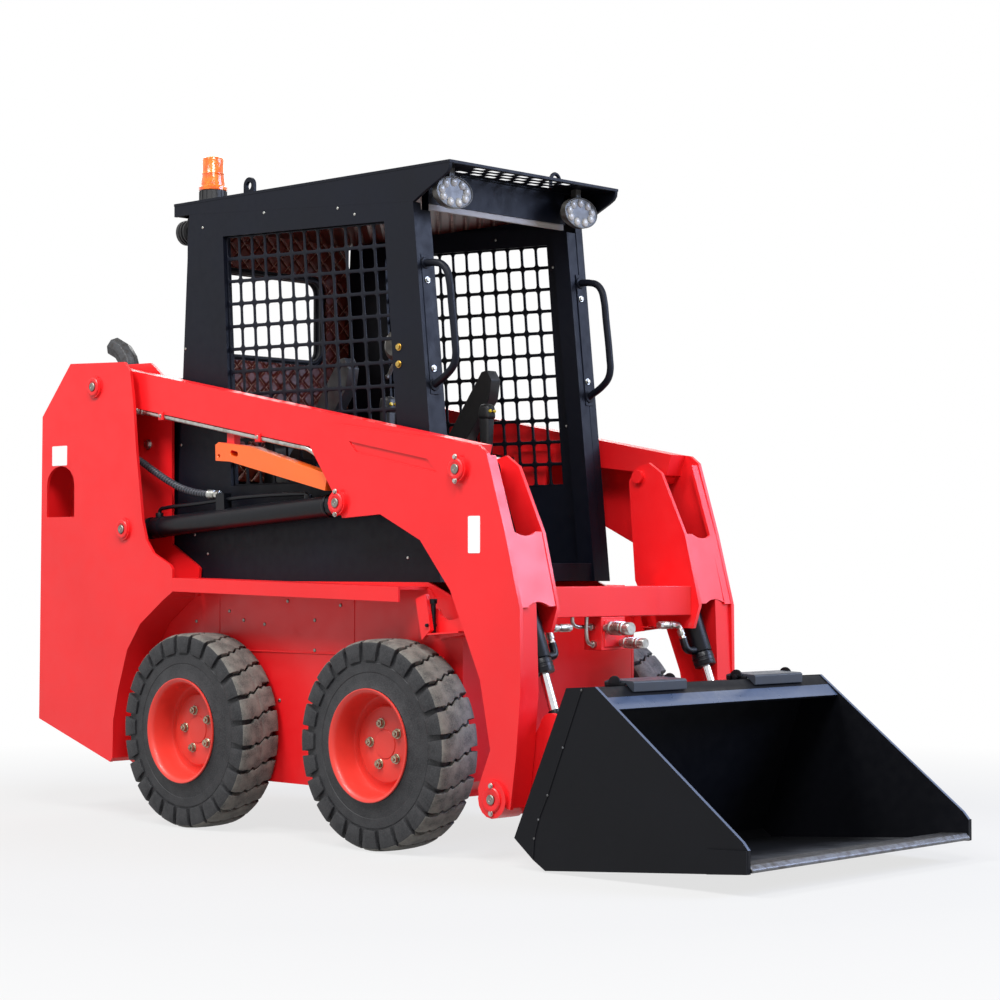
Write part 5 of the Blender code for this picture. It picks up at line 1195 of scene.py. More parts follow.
@dataclass
class Fitting:
    """Plated hose end in one straight run: hexagon, ribbed ferrule and a smaller hexagon."""

    start: Vector
    end: Vector
    radius: float = 0.011

    def build(self) -> Piece:
        """Model the run, looking from start to end."""
        way = self.end - self.start
        pieces = [hexagon("nut", self.start, self.start + way * 0.30, self.radius * 1.1),
                  rod("neck", self.start + way * 0.28, self.start + way * 0.46, self.radius * 0.78, 20),
                  rod("ferrule", self.start + way * 0.44, self.end, self.radius, 24)]
        for share in (0.54, 0.66, 0.78, 0.90):
            ring = rod("ring", self.start + way * share, self.start + way * (share + 0.05), self.radius * 1.1, 24)
            pieces.append(bevelled(ring, self.radius * 0.04, 1, 50))
        bevelled(pieces[2], self.radius * 0.12, 2, 50)
        return smoothed(joined("fitting", pieces), 35)


@dataclass
class LiftHydraulics:
    """Hard pipes along a lift cylinder's barrel, their elbows, and the guarded hose into the tower."""

    side_name: str
    side: int
    pipe_radius: float = 0.0062
    hose_radius: float = 0.0115
    guard_pitch: float = 0.0130
    dip_share: float = 0.28
    dip_depth: float = 0.0022
    facet: float = 0.0022
    arm_pin: Pair = (0.658, 0.989)
    way: Pair = (-0.9979, -0.0648)

    def on_barrel(self, along: float, up: float) -> Vector:
        """Point at a distance along the cylinder's axis from the arm's pin, and above it."""
        x = self.arm_pin[0] + along * self.way[0] + up * self.way[1]
        z = self.arm_pin[1] + along * self.way[1] - up * self.way[0]
        return at(x, self.side * LIFT_CYLINDER, z)

    def pipes(self, dresser: Dresser) -> None:
        """Two hard pipes from the port block to the ends of the barrel."""
        runs = [((0.910, 0.020), (0.910, 0.044), (0.903, 0.056), (0.880, 0.059), (0.700, 0.059), (0.598, 0.060)),
                ((0.190, 0.020), (0.190, 0.034), (0.198, 0.0435), (0.220, 0.0465), (0.500, 0.060), (0.574, 0.060))]
        pieces = [tube("pipe", [self.on_barrel(*point) for point in run], self.pipe_radius, True) for run in runs]
        for along, top in ((0.910, 0.046), (0.190, 0.042)):
            boss = bar("boss", self.on_barrel(along, 0.026), self.on_barrel(along, top), 0.0125, 20, 0.0015)
            pieces.append(smoothed(boss, 35))
        for along in (0.948, 0.086):
            ring = bar("ring", self.on_barrel(along, 0), self.on_barrel(along + 0.012, 0), 0.0352, 40, 0.0015)
            pieces.append(smoothed(ring, 35))
        name = f"lift_pipes_{self.side_name}"
        body = f"lift_barrel_{self.side_name}"
        dresser.hand_over(joined(name, pieces), body, [CYLINDER_BLACK])

    def route(self) -> list[Vector]:
        """Middle line of the hose, from the tower's inner plate to the fitting on the port block."""
        corners = [at(x, self.side * y, z) for x, y, z in (
            (-0.452, 0.3980, 1.176), (-0.400, 0.4040, 1.160), (-0.350, 0.4090, 1.141), (-0.297, 0.4120, 1.117),
            (-0.222, 0.4125, 1.083), (-0.149, 0.4125, 1.055), (-0.065, 0.4125, 1.036), (0.025, 0.4125, 1.0275))]
        points = []
        for number in range(len(corners) - 1):
            before = corners[max(number - 1, 0)]
            start, end = corners[number], corners[number + 1]
            after = corners[min(number + 2, len(corners) - 1)]
            for t in (0, 0.25, 0.5, 0.75):
                points.append(0.5 * (2 * start + (end - before) * t
                                     + (2 * before - 5 * start + 4 * end - after) * t ** 2
                                     + (3 * start - before - 3 * end + after) * t ** 3))
        return [*points, corners[-1]]

    def guarded_tube(self, path: Sequence[Vector], lengths: Sequence[float]) -> Piece:
        """Tube along a path whose surface dips along the helix of its spiral guard.

        Args:
            path: middle line of the hose.
            lengths: length of each of the path's stretches.

        Returns:
            The tube, with its dips in the second material slot.
        """
        total = sum(lengths)
        thing = primitive("cylinder", f"lift_hose_{self.side_name}", vertices=18, radius=1, depth=1)
        edit(thing, lambda face: abs(face.normal.z) < 0.5)
        mesh = bmesh.from_edit_mesh(thing.data)
        upright = [edge for edge in mesh.edges if abs(edge.verts[0].co.z - edge.verts[1].co.z) > 0.5]
        bmesh.ops.subdivide_edges(mesh, edges=upright, cuts=round(total / self.facet) - 1)
        dips = set()
        mesh.verts.index_update()
        for vert in mesh.verts:
            along = (vert.co.z + 0.5) * total
            angle = math.atan2(vert.co.y, vert.co.x)
            reach, number = along, 0
            while number < len(lengths) - 1 and reach > lengths[number]:
                reach -= lengths[number]
                number += 1
            here = path[number].lerp(path[number + 1], min(1, reach / lengths[number]))
            way = (path[number + 1] - path[number]).normalized()
            up = Vector((-way.z, 0, way.x))
            radius = self.hose_radius
            if (along / self.guard_pitch - angle / math.tau) % 1 < self.dip_share:
                radius -= self.dip_depth
                dips.add(vert.index)
            vert.co = here + up * math.cos(angle) * radius + Vector((0, 1, 0)) * math.sin(angle) * radius
        bmesh.update_edit_mesh(thing.data)
        leave()
        outwards(thing)
        for face in thing.data.polygons:
            face.material_index = int(sum(number in dips for number in face.vertices) > 1)
        return smoothed(thing, 40)

    def hose(self, dresser: Dresser) -> None:
        """Rubber hose in a spiral guard, with its fitting on the port block and its elbow in the tower."""
        path = self.route()
        lengths = [(b - a).length for a, b in zip(path, path[1:])]
        hose = self.guarded_tube(path, lengths)
        body = f"lift_barrel_{self.side_name}"
        start = Fitting(self.on_barrel(0.604, 0.0775), at(-0.004, self.side * LIFT_CYLINDER, 1.0300), 0.0130).build()
        start.name = f"lift_hose_fitting_{self.side_name}"
        dresser.hand_over(start, body, [ZINC])
        elbow = tube(f"lift_hose_elbow_{self.side_name}", [at(x, self.side * y, z) for x, y, z in (
            (-0.482, TOWER_INNER_PLATE - 0.001, 1.186), (-0.481, 0.384, 1.186), (-0.475, 0.392, 1.184),
            (-0.462, 0.3965, 1.180), (-0.440, 0.3995, 1.172))], 0.0125, True)
        dresser.hand_over(elbow, body, [ZINC])
        dresser.hand_over(hose, body, [HOSE_WRAP, BLACK_RUBBER])

    def build(self, dresser: Dresser) -> None:
        """Build the pipes and the hose."""
        self.pipes(dresser)
        self.hose(dresser)


@dataclass
class ArmPipe:
    """Clamps on the steel pipe under an arm, and the coupling at its rear end."""

    side_name: str
    side: int
    clamp_x: Sequence[float] = (-0.192, 0.284)

    def build(self, dresser: Dresser) -> None:
        """Set the clamps, their bolts and the coupling along the pipe."""
        low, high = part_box(f"arm_pipe_{self.side_name}")
        y = (low[1] + high[1]) / 2
        rear, front = Vector((low[0] + 0.002, y, high[2] - 0.008)), Vector((high[0], y, low[2] + 0.008))
        way = (front - rear).normalized()
        slot, body = f"arm_{self.side_name}", "loader_arms"
        clamps, bolts = [], []
        for x in self.clamp_x:
            centre = rear + way * ((x + AXLE_X - rear.x) / way.x)
            clamp = box("clamp", (-0.012, -0.0125, -0.0125), (0.012, 0.0125, 0.014))
            edit(clamp, lambda face: abs(face.normal.y) > 0.9)
            bpy.ops.mesh.inset(thickness=0.003)
            bpy.ops.transform.resize(value=(1, 1.12, 1))
            leave()
            bevelled(clamp, 0.0022, 2, 40)
            clamp.data.transform(Matrix.Translation(centre))
            clamps.append(clamp)
            bolts.append((centre + Vector((0, self.side * 0.0135, 0.002)), (0, self.side, 0)))
        clamps = joined(f"pipe_clamps_{self.side_name}", clamps)
        dresser.hand_over(clamps, body, [RED])
        Fasteners(f"pipe_clamp_bolts_{self.side_name}", body, slot, ZINC, radius=0.005).build(dresser, bolts)
        y_pipe = self.side * 0.4420
        run = tube(f"pipe_end_{self.side_name}", [front - way * 0.004, front + way * 0.030, at(0.560, y_pipe, 1.122),
                                                  at(0.595, y_pipe, 1.104), at(0.630, y_pipe, 1.082)], 0.0075, True)
        dresser.hand_over(run, body, [ZINC])
        coupling = Fitting(rear + way * 0.052, rear - way * 0.010, 0.0108).build()
        second = Fitting(rear + way * 0.085, rear + way * 0.045, 0.0096).build()
        coupling = joined(f"pipe_coupling_{self.side_name}", [coupling, second])
        dresser.hand_over(coupling, body, [ZINC])


@dataclass
class FrontHydraulics:
    """Manifold under the cross beam with its knurled quick couplings, and fittings on the tilt cylinders."""

    block_x: Pair = (1.225, 1.300)
    coupling_places: Sequence[Pair] = ((-0.0163, 0.6297), (0.0445, 0.5870))
    coupling_radius: float = 0.0172
    coupling_reach: float = 0.098

    def coupling(self, y: float, z: float, size: float) -> Piece:
        """Quick coupling turned from bar, with knurled sleeves and a dust cap."""
        profile = [(0, 0), (0.60, 0), (0.60, 0.16), (0.95, 0.18), (0.95, 0.26), (0.80, 0.28), (0.80, 0.34)]
        for number in range(5):
            start = 0.36 + number * 0.055
            profile += [(1.0, start), (1.0, start + 0.030), (0.88, start + 0.036), (0.88, start + 0.050)]
        profile += [(0.96, 0.66), (0.96, 0.72), (0.78, 0.74), (0.78, 0.80), (0.90, 0.82), (0.90, 0.97), (0.82, 1.0),
                    (0, 1.0)]
        start = self.block_x[1] - 0.004
        pairs = [(out * self.coupling_radius * size, along * self.coupling_reach) for out, along in profile]
        return turned("coupling", at(start, y, z), "X", pairs)

    def manifold(self, dresser: Dresser) -> None:
        """Red manifold with its ports, steel pipes and couplings."""
        body = "loader_arms"
        manifold = box("manifold", at(1.229, -0.034, 0.566), at(1.296, 0.068, 0.6612))
        edit(manifold, lambda face: face.normal.x > 0.9)
        bpy.ops.mesh.inset(thickness=0.010)
        extrude((0.004, 0, 0))
        leave()
        bevelled(manifold, 0.008, 3, 40)
        weighted(smoothed(manifold, 40))
        manifold.name = "front_manifold"
        dresser.hand_over(manifold, body, [RED])
        first, second = self.coupling_places
        couplings = joined("quick_couplings", [self.coupling(*first, 1.18), self.coupling(*second, 0.94)])
        dresser.hand_over(couplings, body, [ZINC], ["hydraulic_block"])
        runs = [[at(1.255, -0.112, 0.664), at(1.255, -0.110, 0.645), at(1.256, -0.098, 0.636),
                 at(1.258, -0.060, 0.633), at(1.262, -0.030, 0.632)],
                [at(1.270, -0.068, 0.664), at(1.270, -0.068, 0.610), at(1.270, -0.062, 0.590),
                 at(1.270, -0.050, 0.584), at(1.270, -0.030, 0.584)],
                [at(1.245, 0.064, 0.600), at(1.245, 0.090, 0.600), at(1.245, 0.108, 0.612),
                 at(1.245, 0.112, 0.640), at(1.245, 0.112, 0.664)]]
        pipes = joined("manifold_pipes", [tube("pipe", run, 0.0058, True) for run in runs])
        dresser.hand_over(pipes, body, [ZINC])
        nuts = [hexagon("nut", at(1.262, -0.046, 0.632), at(1.262, -0.033, 0.632), 0.0105),
                hexagon("nut", at(1.270, -0.046, 0.584), at(1.270, -0.033, 0.584), 0.0105),
                hexagon("nut", at(1.245, 0.066, 0.600), at(1.245, 0.080, 0.600), 0.0105)]
        dresser.hand_over(joined("manifold_nuts", nuts), body, [ZINC])

    def tilt_fitting(self, side_name: str, side: int, dresser: Dresser) -> None:
        """Black port elbow on the inner side of a tilt barrel and its plated swivel fitting."""
        top, foot = Vector((1.151, 0, 1.073)), Vector((1.420, 0, 0.370))
        way = (foot - top).normalized()
        body = f"tilt_barrel_{side_name}"

        def on(along: float, inward: float, forward: float = 0.0) -> Vector:
            point = top + way * along + Vector((-way.z, 0, way.x)) * forward
            return at(point.x, side * (0.348 - inward), point.z)

        elbow = tube(f"tilt_elbow_{side_name}", [on(0.550, 0.022), on(0.550, 0.053), on(0.545, 0.063),
                                                 on(0.533, 0.066), on(0.514, 0.066)], 0.0115, True)
        dresser.hand_over(elbow, body, [CYLINDER_BLACK])
        rise = Fitting(on(0.517, 0.066), on(0.486, 0.066), 0.0105).build()
        bend = tube("bend", [on(0.488, 0.066), on(0.477, 0.067), on(0.471, 0.075), on(0.470, 0.088)], 0.0092, True)
        run = Fitting(on(0.470, 0.086), on(0.470, 0.146), 0.0105).build()
        tip = hexagon("tip", on(0.470, 0.144), on(0.470, 0.158), 0.0112)
        swivel = joined(f"tilt_fitting_{side_name}", [rise, bend, run, tip])
        dresser.hand_over(swivel, body, [ZINC])
        rings = []
        # sleeve, gland and its two raised rings: distance from the top pin, length and radius
        for along, length, radius in ((0.060, 0.498, 0.0312), (0.562, 0.038, 0.0316), (0.572, 0.005, 0.0326),
                                      (0.584, 0.005, 0.0326)):
            rings.append(bar("ring", on(along, 0), on(along + length, 0), radius, 48))
        rings = smoothed(joined(f"tilt_gland_rings_{side_name}", rings), 35)
        dresser.hand_over(rings, body, [CYLINDER_BLACK])
        neck = smoothed(bar(f"tilt_rod_neck_{side_name}", on(0.704, 0), on(0.735, 0), 0.0175, 32, 0.003, 3), 35)
        dresser.hand_over(neck, f"tilt_rod_{side_name}", [CYLINDER_BLACK])

    def build(self, dresser: Dresser) -> None:
        """Build the manifold and the fittings of both sides."""
        self.manifold(dresser)
        for side_name, side in SIDES.items():
            self.tilt_fitting(side_name, side, dresser)


@dataclass
class CabRoof:
    """Roof with a thin slotted visor, deep front skirts, a drilled lifting lug and a lifting ring."""

    visor_x: Pair = (0.862, 1.003)
    visor_half_width: float = 0.3435
    visor_sheet: float = 0.0028
    roof_rear: Pair = (-0.249, 1.971)
    roof_front: Pair = (1.015, 1.961)
    slot_rows: Sequence[tuple[float, float, int]] = ((0.961, -0.188, 7), (0.924, -0.158, 6), (0.887, -0.188, 7))
    slot_pitch: float = 0.061
    slot_size: Pair = (0.024, 0.042)
    lug_place: Pair = (0.056, -0.300)
    ring_place: Pair = (0.889, 0.214)
    skirt: Sequence[Pair] = ((0.866, 1.8575), (0.915, 1.884), (0.985, 1.916), (1.003, 1.926), (1.012, 1.938),
                             (1.014, 1.9545), (0.866, 1.9555))

    def top(self, x: float) -> float:
        """Height of the roof sheet's upper face."""
        share = (x - self.roof_rear[0]) / (self.roof_front[0] - self.roof_rear[0])
        return self.roof_rear[1] + share * (self.roof_front[1] - self.roof_rear[1])

    def shell(self) -> Piece:
        """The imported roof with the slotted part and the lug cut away."""
        source = packed_copy("cab_roof", "cab_roof_copy")
        half = self.visor_half_width
        cutter = box("cutter", at(self.visor_x[0], -half, 1.94), at(self.visor_x[1], half, 2.05))
        lug = box("cutter", at(0.02, -0.33, self.top(0.056) + 0.0002), at(0.10, -0.27, 2.06))
        header = box("cutter", at(0.80, -0.2925, 1.70), at(0.86, 0.2925, 1.860))
        carved(carved(carved(source, cutter), lug), header)
        return source

    def visor(self) -> Piece:
        """Thin sheet with three staggered rows of long holes."""
        x_low, x_high = self.visor_x[0] - 0.004, self.visor_x[1] + 0.004
        half = self.visor_half_width + 0.004
        outline = [at(x, -half, self.top(x) - down) for x, down in (
            (x_low, 0.0004), (x_high, 0.0004), (x_high, self.visor_sheet), (x_low, self.visor_sheet))]
        sheet = flat_plate("visor", outline, (0, 2 * half, 0))
        pattern = box("slot", (-self.slot_size[0] / 2, -self.slot_size[1] / 2, -0.02),
                      (self.slot_size[0] / 2, self.slot_size[1] / 2, 0.02))
        modify(pattern, "BEVEL", width=0.006, segments=3, limit_method="ANGLE", angle_limit=math.radians(60))
        places = [Matrix.Translation(at(x, y + number * self.slot_pitch, self.top(x)))
                  for x, y, count in self.slot_rows for number in range(count)]
        return carved(sheet, repeated("slots", pattern, places))

    def lug(self) -> Piece:
        """Lifting lug: rounded plate with a round hole."""
        x, y = self.lug_place
        foot = self.top(x) - 0.004
        outline = [(x - 0.025, foot), (x + 0.025, foot), (x + 0.025, foot + 0.036)]
        outline += [(x + 0.025 * math.cos(math.radians(a)), foot + 0.040 + 0.025 * math.sin(math.radians(a)))
                    for a in range(0, 181, 15)]
        outline.append((x - 0.025, foot + 0.036))
        plate = flat_plate("lug", [at(px, y - 0.006, z) for px, z in outline], (0, 0.012, 0))
        hole = rod("hole", at(x, y - 0.02, foot + 0.038), at(x, y + 0.02, foot + 0.038), 0.0125, 32)
        return carved(plate, hole)

    def build(self, dresser: Dresser) -> None:
        """Join the roof's parts and hand them over."""
        parts = [self.shell(), self.visor(), self.lug()]
        for side in SIDES.values():
            outline = [at(x, side * 0.351, z) for x, z in self.skirt]
            parts.append(flat_plate("skirt", outline, (0, side * 0.0112, 0)))
        for part in parts:
            bevelled(part, 0.0012, 2, 40)
            weighted(smoothed(part, 40))
        x, y = self.ring_place
        z = self.top(x)
        ring = tube("ring", [at(x, y - 0.020, z - 0.003), at(x, y - 0.020, z + 0.018)]
                    + [at(x, y - 0.020 * math.cos(math.radians(a)), z + 0.020 + 0.022 * math.sin(math.radians(a)))
                       for a in range(0, 181, 15)]
                    + [at(x, y + 0.020, z + 0.018), at(x, y + 0.020, z - 0.003)], 0.0058)
        trim = box("header_trim", at(0.846, -0.292, 1.842), at(0.853, 0.292, 1.8605))
        edit(trim, lambda face: face.normal.z < -0.9)
        bpy.ops.mesh.inset(thickness=0.002)
        leave()
        bevelled(trim, 0.0015, 2, 40)
        dresser.hand_over(trim, "frame", [TRIM])
        roof = joined("cab_roof_dressed", [*parts, ring])
        dresser.hand_over(roof, "frame", [CAB_BLACK], ["cab_roof"])


@dataclass
class CabFittings:
    """Bolts, handle plates, window seal, levers and the small lamp inside the cab."""

    window_half_width: float = 0.215
    window_z: Pair = (1.490, 1.766)
    window_radius: float = 0.045
    lever_place: Pair = (0.599, 0.212)

    def pillar(self, z: float) -> float:
        """Front face of the pillars at a height."""
        return 0.979 + (z - 0.760) / (1.857 - 0.760) * (0.864 - 0.979)

    def handles(self, dresser: Dresser) -> None:
        """Bent grab handles, the strip plates behind them and their bolts."""
        line = ((1.680, 0.003), (1.677, 0.045), (1.669, 0.070), (1.650, 0.087), (1.620, 0.094), (1.560, 0.096),
                (1.440, 0.0985), (1.405, 0.097), (1.380, 0.087), (1.360, 0.066), (1.326, 0.003))
        for side_name, side in SIDES.items():
            bent = tube(f"grab_handle_{side_name}_bent",
                        [at(self.pillar(z) + out, side * 0.332, z) for z, out in line], 0.0108, True)
            node = f"grab_handle_{side_name}"
            dresser.hand_over(bent, "frame", [CAB_BLACK], [node])
        lean = Vector((self.pillar(2.0) - self.pillar(1.0), 0, 1)).normalized()
        front = Vector((lean.z, 0, -lean.x))
        for side_name, side in SIDES.items():
            outline = [at(self.pillar(z), side * y, z) - front * 0.001
                       for y, z in ((0.316, 1.298), (0.348, 1.298), (0.348, 1.706), (0.316, 1.706))]
            strip = flat_plate(f"handle_plate_{side_name}", outline, tuple(front * 0.0032))
            bevelled(strip, 0.0012, 2, 40)
            weighted(smoothed(strip, 40))
            dresser.hand_over(strip, "frame", [CAB_BLACK])
            bolts = [(at(self.pillar(z), side * 0.330, z) + front * 0.003, tuple(front)) for z in (1.373, 1.630)]
            Fasteners(f"handle_bolts_{side_name}", "frame", "hydraulic_block", ZINC, radius=0.0075).build(
                dresser, bolts)
            pads = []
            for z in (1.680, 1.325):
                foot = at(self.pillar(z), side * 0.332, z)
                pads.append(bar("pad", foot - front * 0.001, foot + front * 0.006, 0.0175, 28, 0.0015))
            pads = smoothed(joined(f"handle_pads_{side_name}", pads), 35)
            dresser.hand_over(pads, "frame", [CAB_BLACK])

    def wall_bolts(self, dresser: Dresser) -> None:
        """Brass bolts by the pillar and small bright screws round the windows."""
        for side_name, side in SIDES.items():
            slot = f"cab_side_{side_name}"
            way = (0, side, 0)
            brass = [(at(0.806, side * CAB_WALL, z), way) for z in (1.440, 1.390)]
            Fasteners(f"brass_bolts_{side_name}", "frame", slot, BRASS, radius=0.0085).build(dresser, brass)
            screws = [(at(x, side * CAB_WALL, z), way) for x, z in (
                (0.540, 1.872), (0.615, 1.846), (0.200, 1.895), (-0.100, 1.880), (-0.185, 1.500), (-0.205, 1.193),
                (-0.134, 0.905), (-0.068, 0.845), (0.845, 0.830))]
            Fasteners(f"wall_screws_{side_name}", "frame", slot, ZINC, Fixing.ROUND, 0.0048).build(dresser, screws)
            inner = [(at(x, side * CAB_WALL_INSIDE, z), (0, -side, 0)) for x, z in (
                (0.520, 1.850), (0.120, 1.866), (0.770, 1.740), (0.826, 1.240))]
            Fasteners(f"inner_screws_{side_name}", "frame", slot, ZINC, Fixing.ROUND, 0.0048).build(dresser, inner)

    def seal(self, dresser: Dresser) -> None:
        """Rubber seal round the rear window, on both faces of the wall."""
        y_reach, (low, high), radius = self.window_half_width, self.window_z, self.window_radius
        corners = [(y_reach - radius, high - radius, 0), (-y_reach + radius, high - radius, 90),
                   (-y_reach + radius, low + radius, 180), (y_reach - radius, low + radius, 270)]
        loops = []
        for x in (-0.2165, -0.1875):
            line = [at(x, y + radius * math.cos(math.radians(start + turn)), z + radius * math.sin(
                math.radians(start + turn))) for y, z, start in corners for turn in range(0, 91, 15)]
            loops.append(tube("seal", [*line, line[0], line[1]], 0.0075, sides=3))
        seal = joined("rear_window_seal", loops)
        dresser.hand_over(seal, "frame", [BLACK_RUBBER])

    def lever(self, side_name: str, side: int, dresser: Dresser) -> None:
        """Control lever: bent stalk, square column grip with a rounded head, and a yellow button."""
        x, y = self.lever_place[0], side * self.lever_place[1]
        stalk = rod("stalk", at(x, y, 0.7723), at(x, y, 1.150), 0.011, 20)
        gaiter = turned("gaiter", at(x, y, 0.7724), "Z", (
            (0, 0), (0.034, 0), (0.035, 0.008), (0.027, 0.014), (0.030, 0.022), (0.022, 0.028), (0.025, 0.036),
            (0.017, 0.042), (0.012, 0.060), (0, 0.060)), 28, angle=60)
        grip = box("grip", at(x - 0.0225, y - 0.019, 1.128), at(x + 0.0205, y + 0.019, 1.285))
        edit(grip, lambda face: face.normal.z < -0.9)
        bpy.ops.transform.resize(value=(0.72, 0.72, 1))
        leave()
        bevelled(grip, 0.010, 4, 30)
        head = box("head", at(x - 0.0255, y - 0.0225, 1.262), at(x + 0.0255, y + 0.0225, 1.3145))
        edit(head, lambda face: face.normal.z > 0.9)
        bpy.ops.transform.resize(value=(0.86, 0.90, 1))
        leave()
        bevelled(head, 0.015, 5, 30)
        for part in (stalk, gaiter, grip, head):
            smoothed(part, 60)
        lever = joined(f"lever_{side_name}", [stalk, gaiter, grip, head])
        node = f"control_lever_{side_name}"
        dresser.hand_over(lever, "frame", [BLACK_PLASTIC], [node])
        buttons = [bar("button", at(x + 0.018, y + offset, 1.290), at(x + 0.0275, y + offset, 1.291), 0.0052, 20)
                   for offset in (-0.009, 0.009)]
        buttons = smoothed(joined(f"lever_buttons_{side_name}", buttons), 35)
        dresser.hand_over(buttons, "frame", [YELLOW_PLASTIC])

    def inside_lamp(self, dresser: Dresser) -> None:
        """Round grey work lamp on its arm inside the right wall."""
        x, z, wall = 0.742, 1.452, -CAB_WALL_INSIDE
        lamp = turned("inside_lamp", at(x, wall + 0.004, z), "Y", (
            (0, 0), (0.030, 0), (0.046, 0.012), (0.050, 0.022), (0.050, 0.030), (0.045, 0.033), (0.042, 0.028),
            (0, 0.024)), 40)
        stem = tube("stem", [at(x + 0.01, wall - 0.001, z - 0.02), at(x + 0.01, wall + 0.010, z - 0.04),
                             at(x - 0.02, wall + 0.010, z - 0.085), at(x - 0.02, wall - 0.001, z - 0.095)], 0.006)
        lamp = joined("inside_lamp", [lamp, stem])
        dresser.hand_over(lamp, "frame", [LAMP_RIM])

    def build(self, dresser: Dresser) -> None:
        """Build every fitting of the cab."""
        self.handles(dresser)
        self.wall_bolts(dresser)
        self.seal(dresser)
        self.inside_lamp(dresser)
        for side_name, side in SIDES.items():
            self.lever(side_name, side, dresser)


@dataclass
class Cushion:
    """Padded vinyl form: blown up by cloth simulation, then pressed in along its channels."""

    name: str
    low: Point
    high: Point
    thin_axis: int
    channels: Sequence[tuple[int, float]]
    voxel: float = 0.0075
    margin: float = 0.010
    swell: float = 0.012
    frames: int = 20
    groove: float = 0.0065
    groove_width: float = 0.006

    def inflate(self, form: Piece) -> None:
        """Run the cloth simulation and cap how far each point moves."""
        rest = [vert.co.copy() for vert in form.data.vertices]
        focus(form)
        cloth = form.modifiers.new("cloth", "CLOTH")
        cloth.settings.use_pressure = True
        cloth.settings.uniform_pressure_force = 4.0
        cloth.settings.effector_weights.gravity = 0
        cloth.settings.quality = 4
        cloth.point_cache.frame_start, cloth.point_cache.frame_end = 1, self.frames
        scene = bpy.context.scene
        for number in range(1, self.frames + 1):
            scene.frame_set(number)
        focus(form)
        bpy.ops.object.modifier_apply(modifier="cloth")
        scene.frame_set(1)
        for vert, start in zip(form.data.vertices, rest):
            move = vert.co - start
            if move.length > self.swell:
                vert.co = start + move.normalized() * self.swell

    def press(self, form: Piece) -> None:
        """Press the sewn channels into the broad faces, and hold the cushion inside its space."""
        axis = self.thin_axis
        middle = (self.low[axis] + self.high[axis]) / 2
        for vert in form.data.vertices:
            for across, place in self.channels:
                distance = (vert.co[across] - place) / self.groove_width
                depth = self.groove * math.exp(-distance * distance)
                vert.co[axis] -= math.copysign(depth, vert.co[axis] - middle)
            for number in range(3):
                vert.co[number] = min(max(vert.co[number], self.low[number]), self.high[number])

    def build(self) -> Piece:
        """Model, inflate and press the cushion."""
        low = [value + self.margin for value in self.low]
        high = [value - self.margin for value in self.high]
        form = bevelled(box(self.name, low, high), 0.022, 3, 30)
        modify(form, "REMESH", mode="VOXEL", voxel_size=self.voxel)
        self.inflate(form)
        self.press(form)
        modify(form, "SUBSURF", levels=1, render_levels=1)
        return smoothed(form, 80)


def seat(dresser: Dresser) -> None:
    """Suspension seat: cushion and backrest with piping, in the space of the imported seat."""
    x, top = AXLE_X, 1.0205
    cushion = Cushion("seat_cushion", (x + 0.040, -0.225, top), (x + 0.470, 0.225, top + 0.0848), 2,
                      ((1, -0.135), (1, 0.135), (0, x + 0.180), (0, x + 0.320))).build()
    dresser.hand_over(cushion, "frame", [SEAT_VINYL], ["seat"])
    back = Cushion("seat_backrest", (x - 0.010, -0.225, top), (x + 0.080, 0.225, 1.290), 0,
                   ((1, -0.135), (1, 0.135), (2, 1.180))).build()
    dresser.hand_over(back, "frame", [SEAT_VINYL], ["seat"])


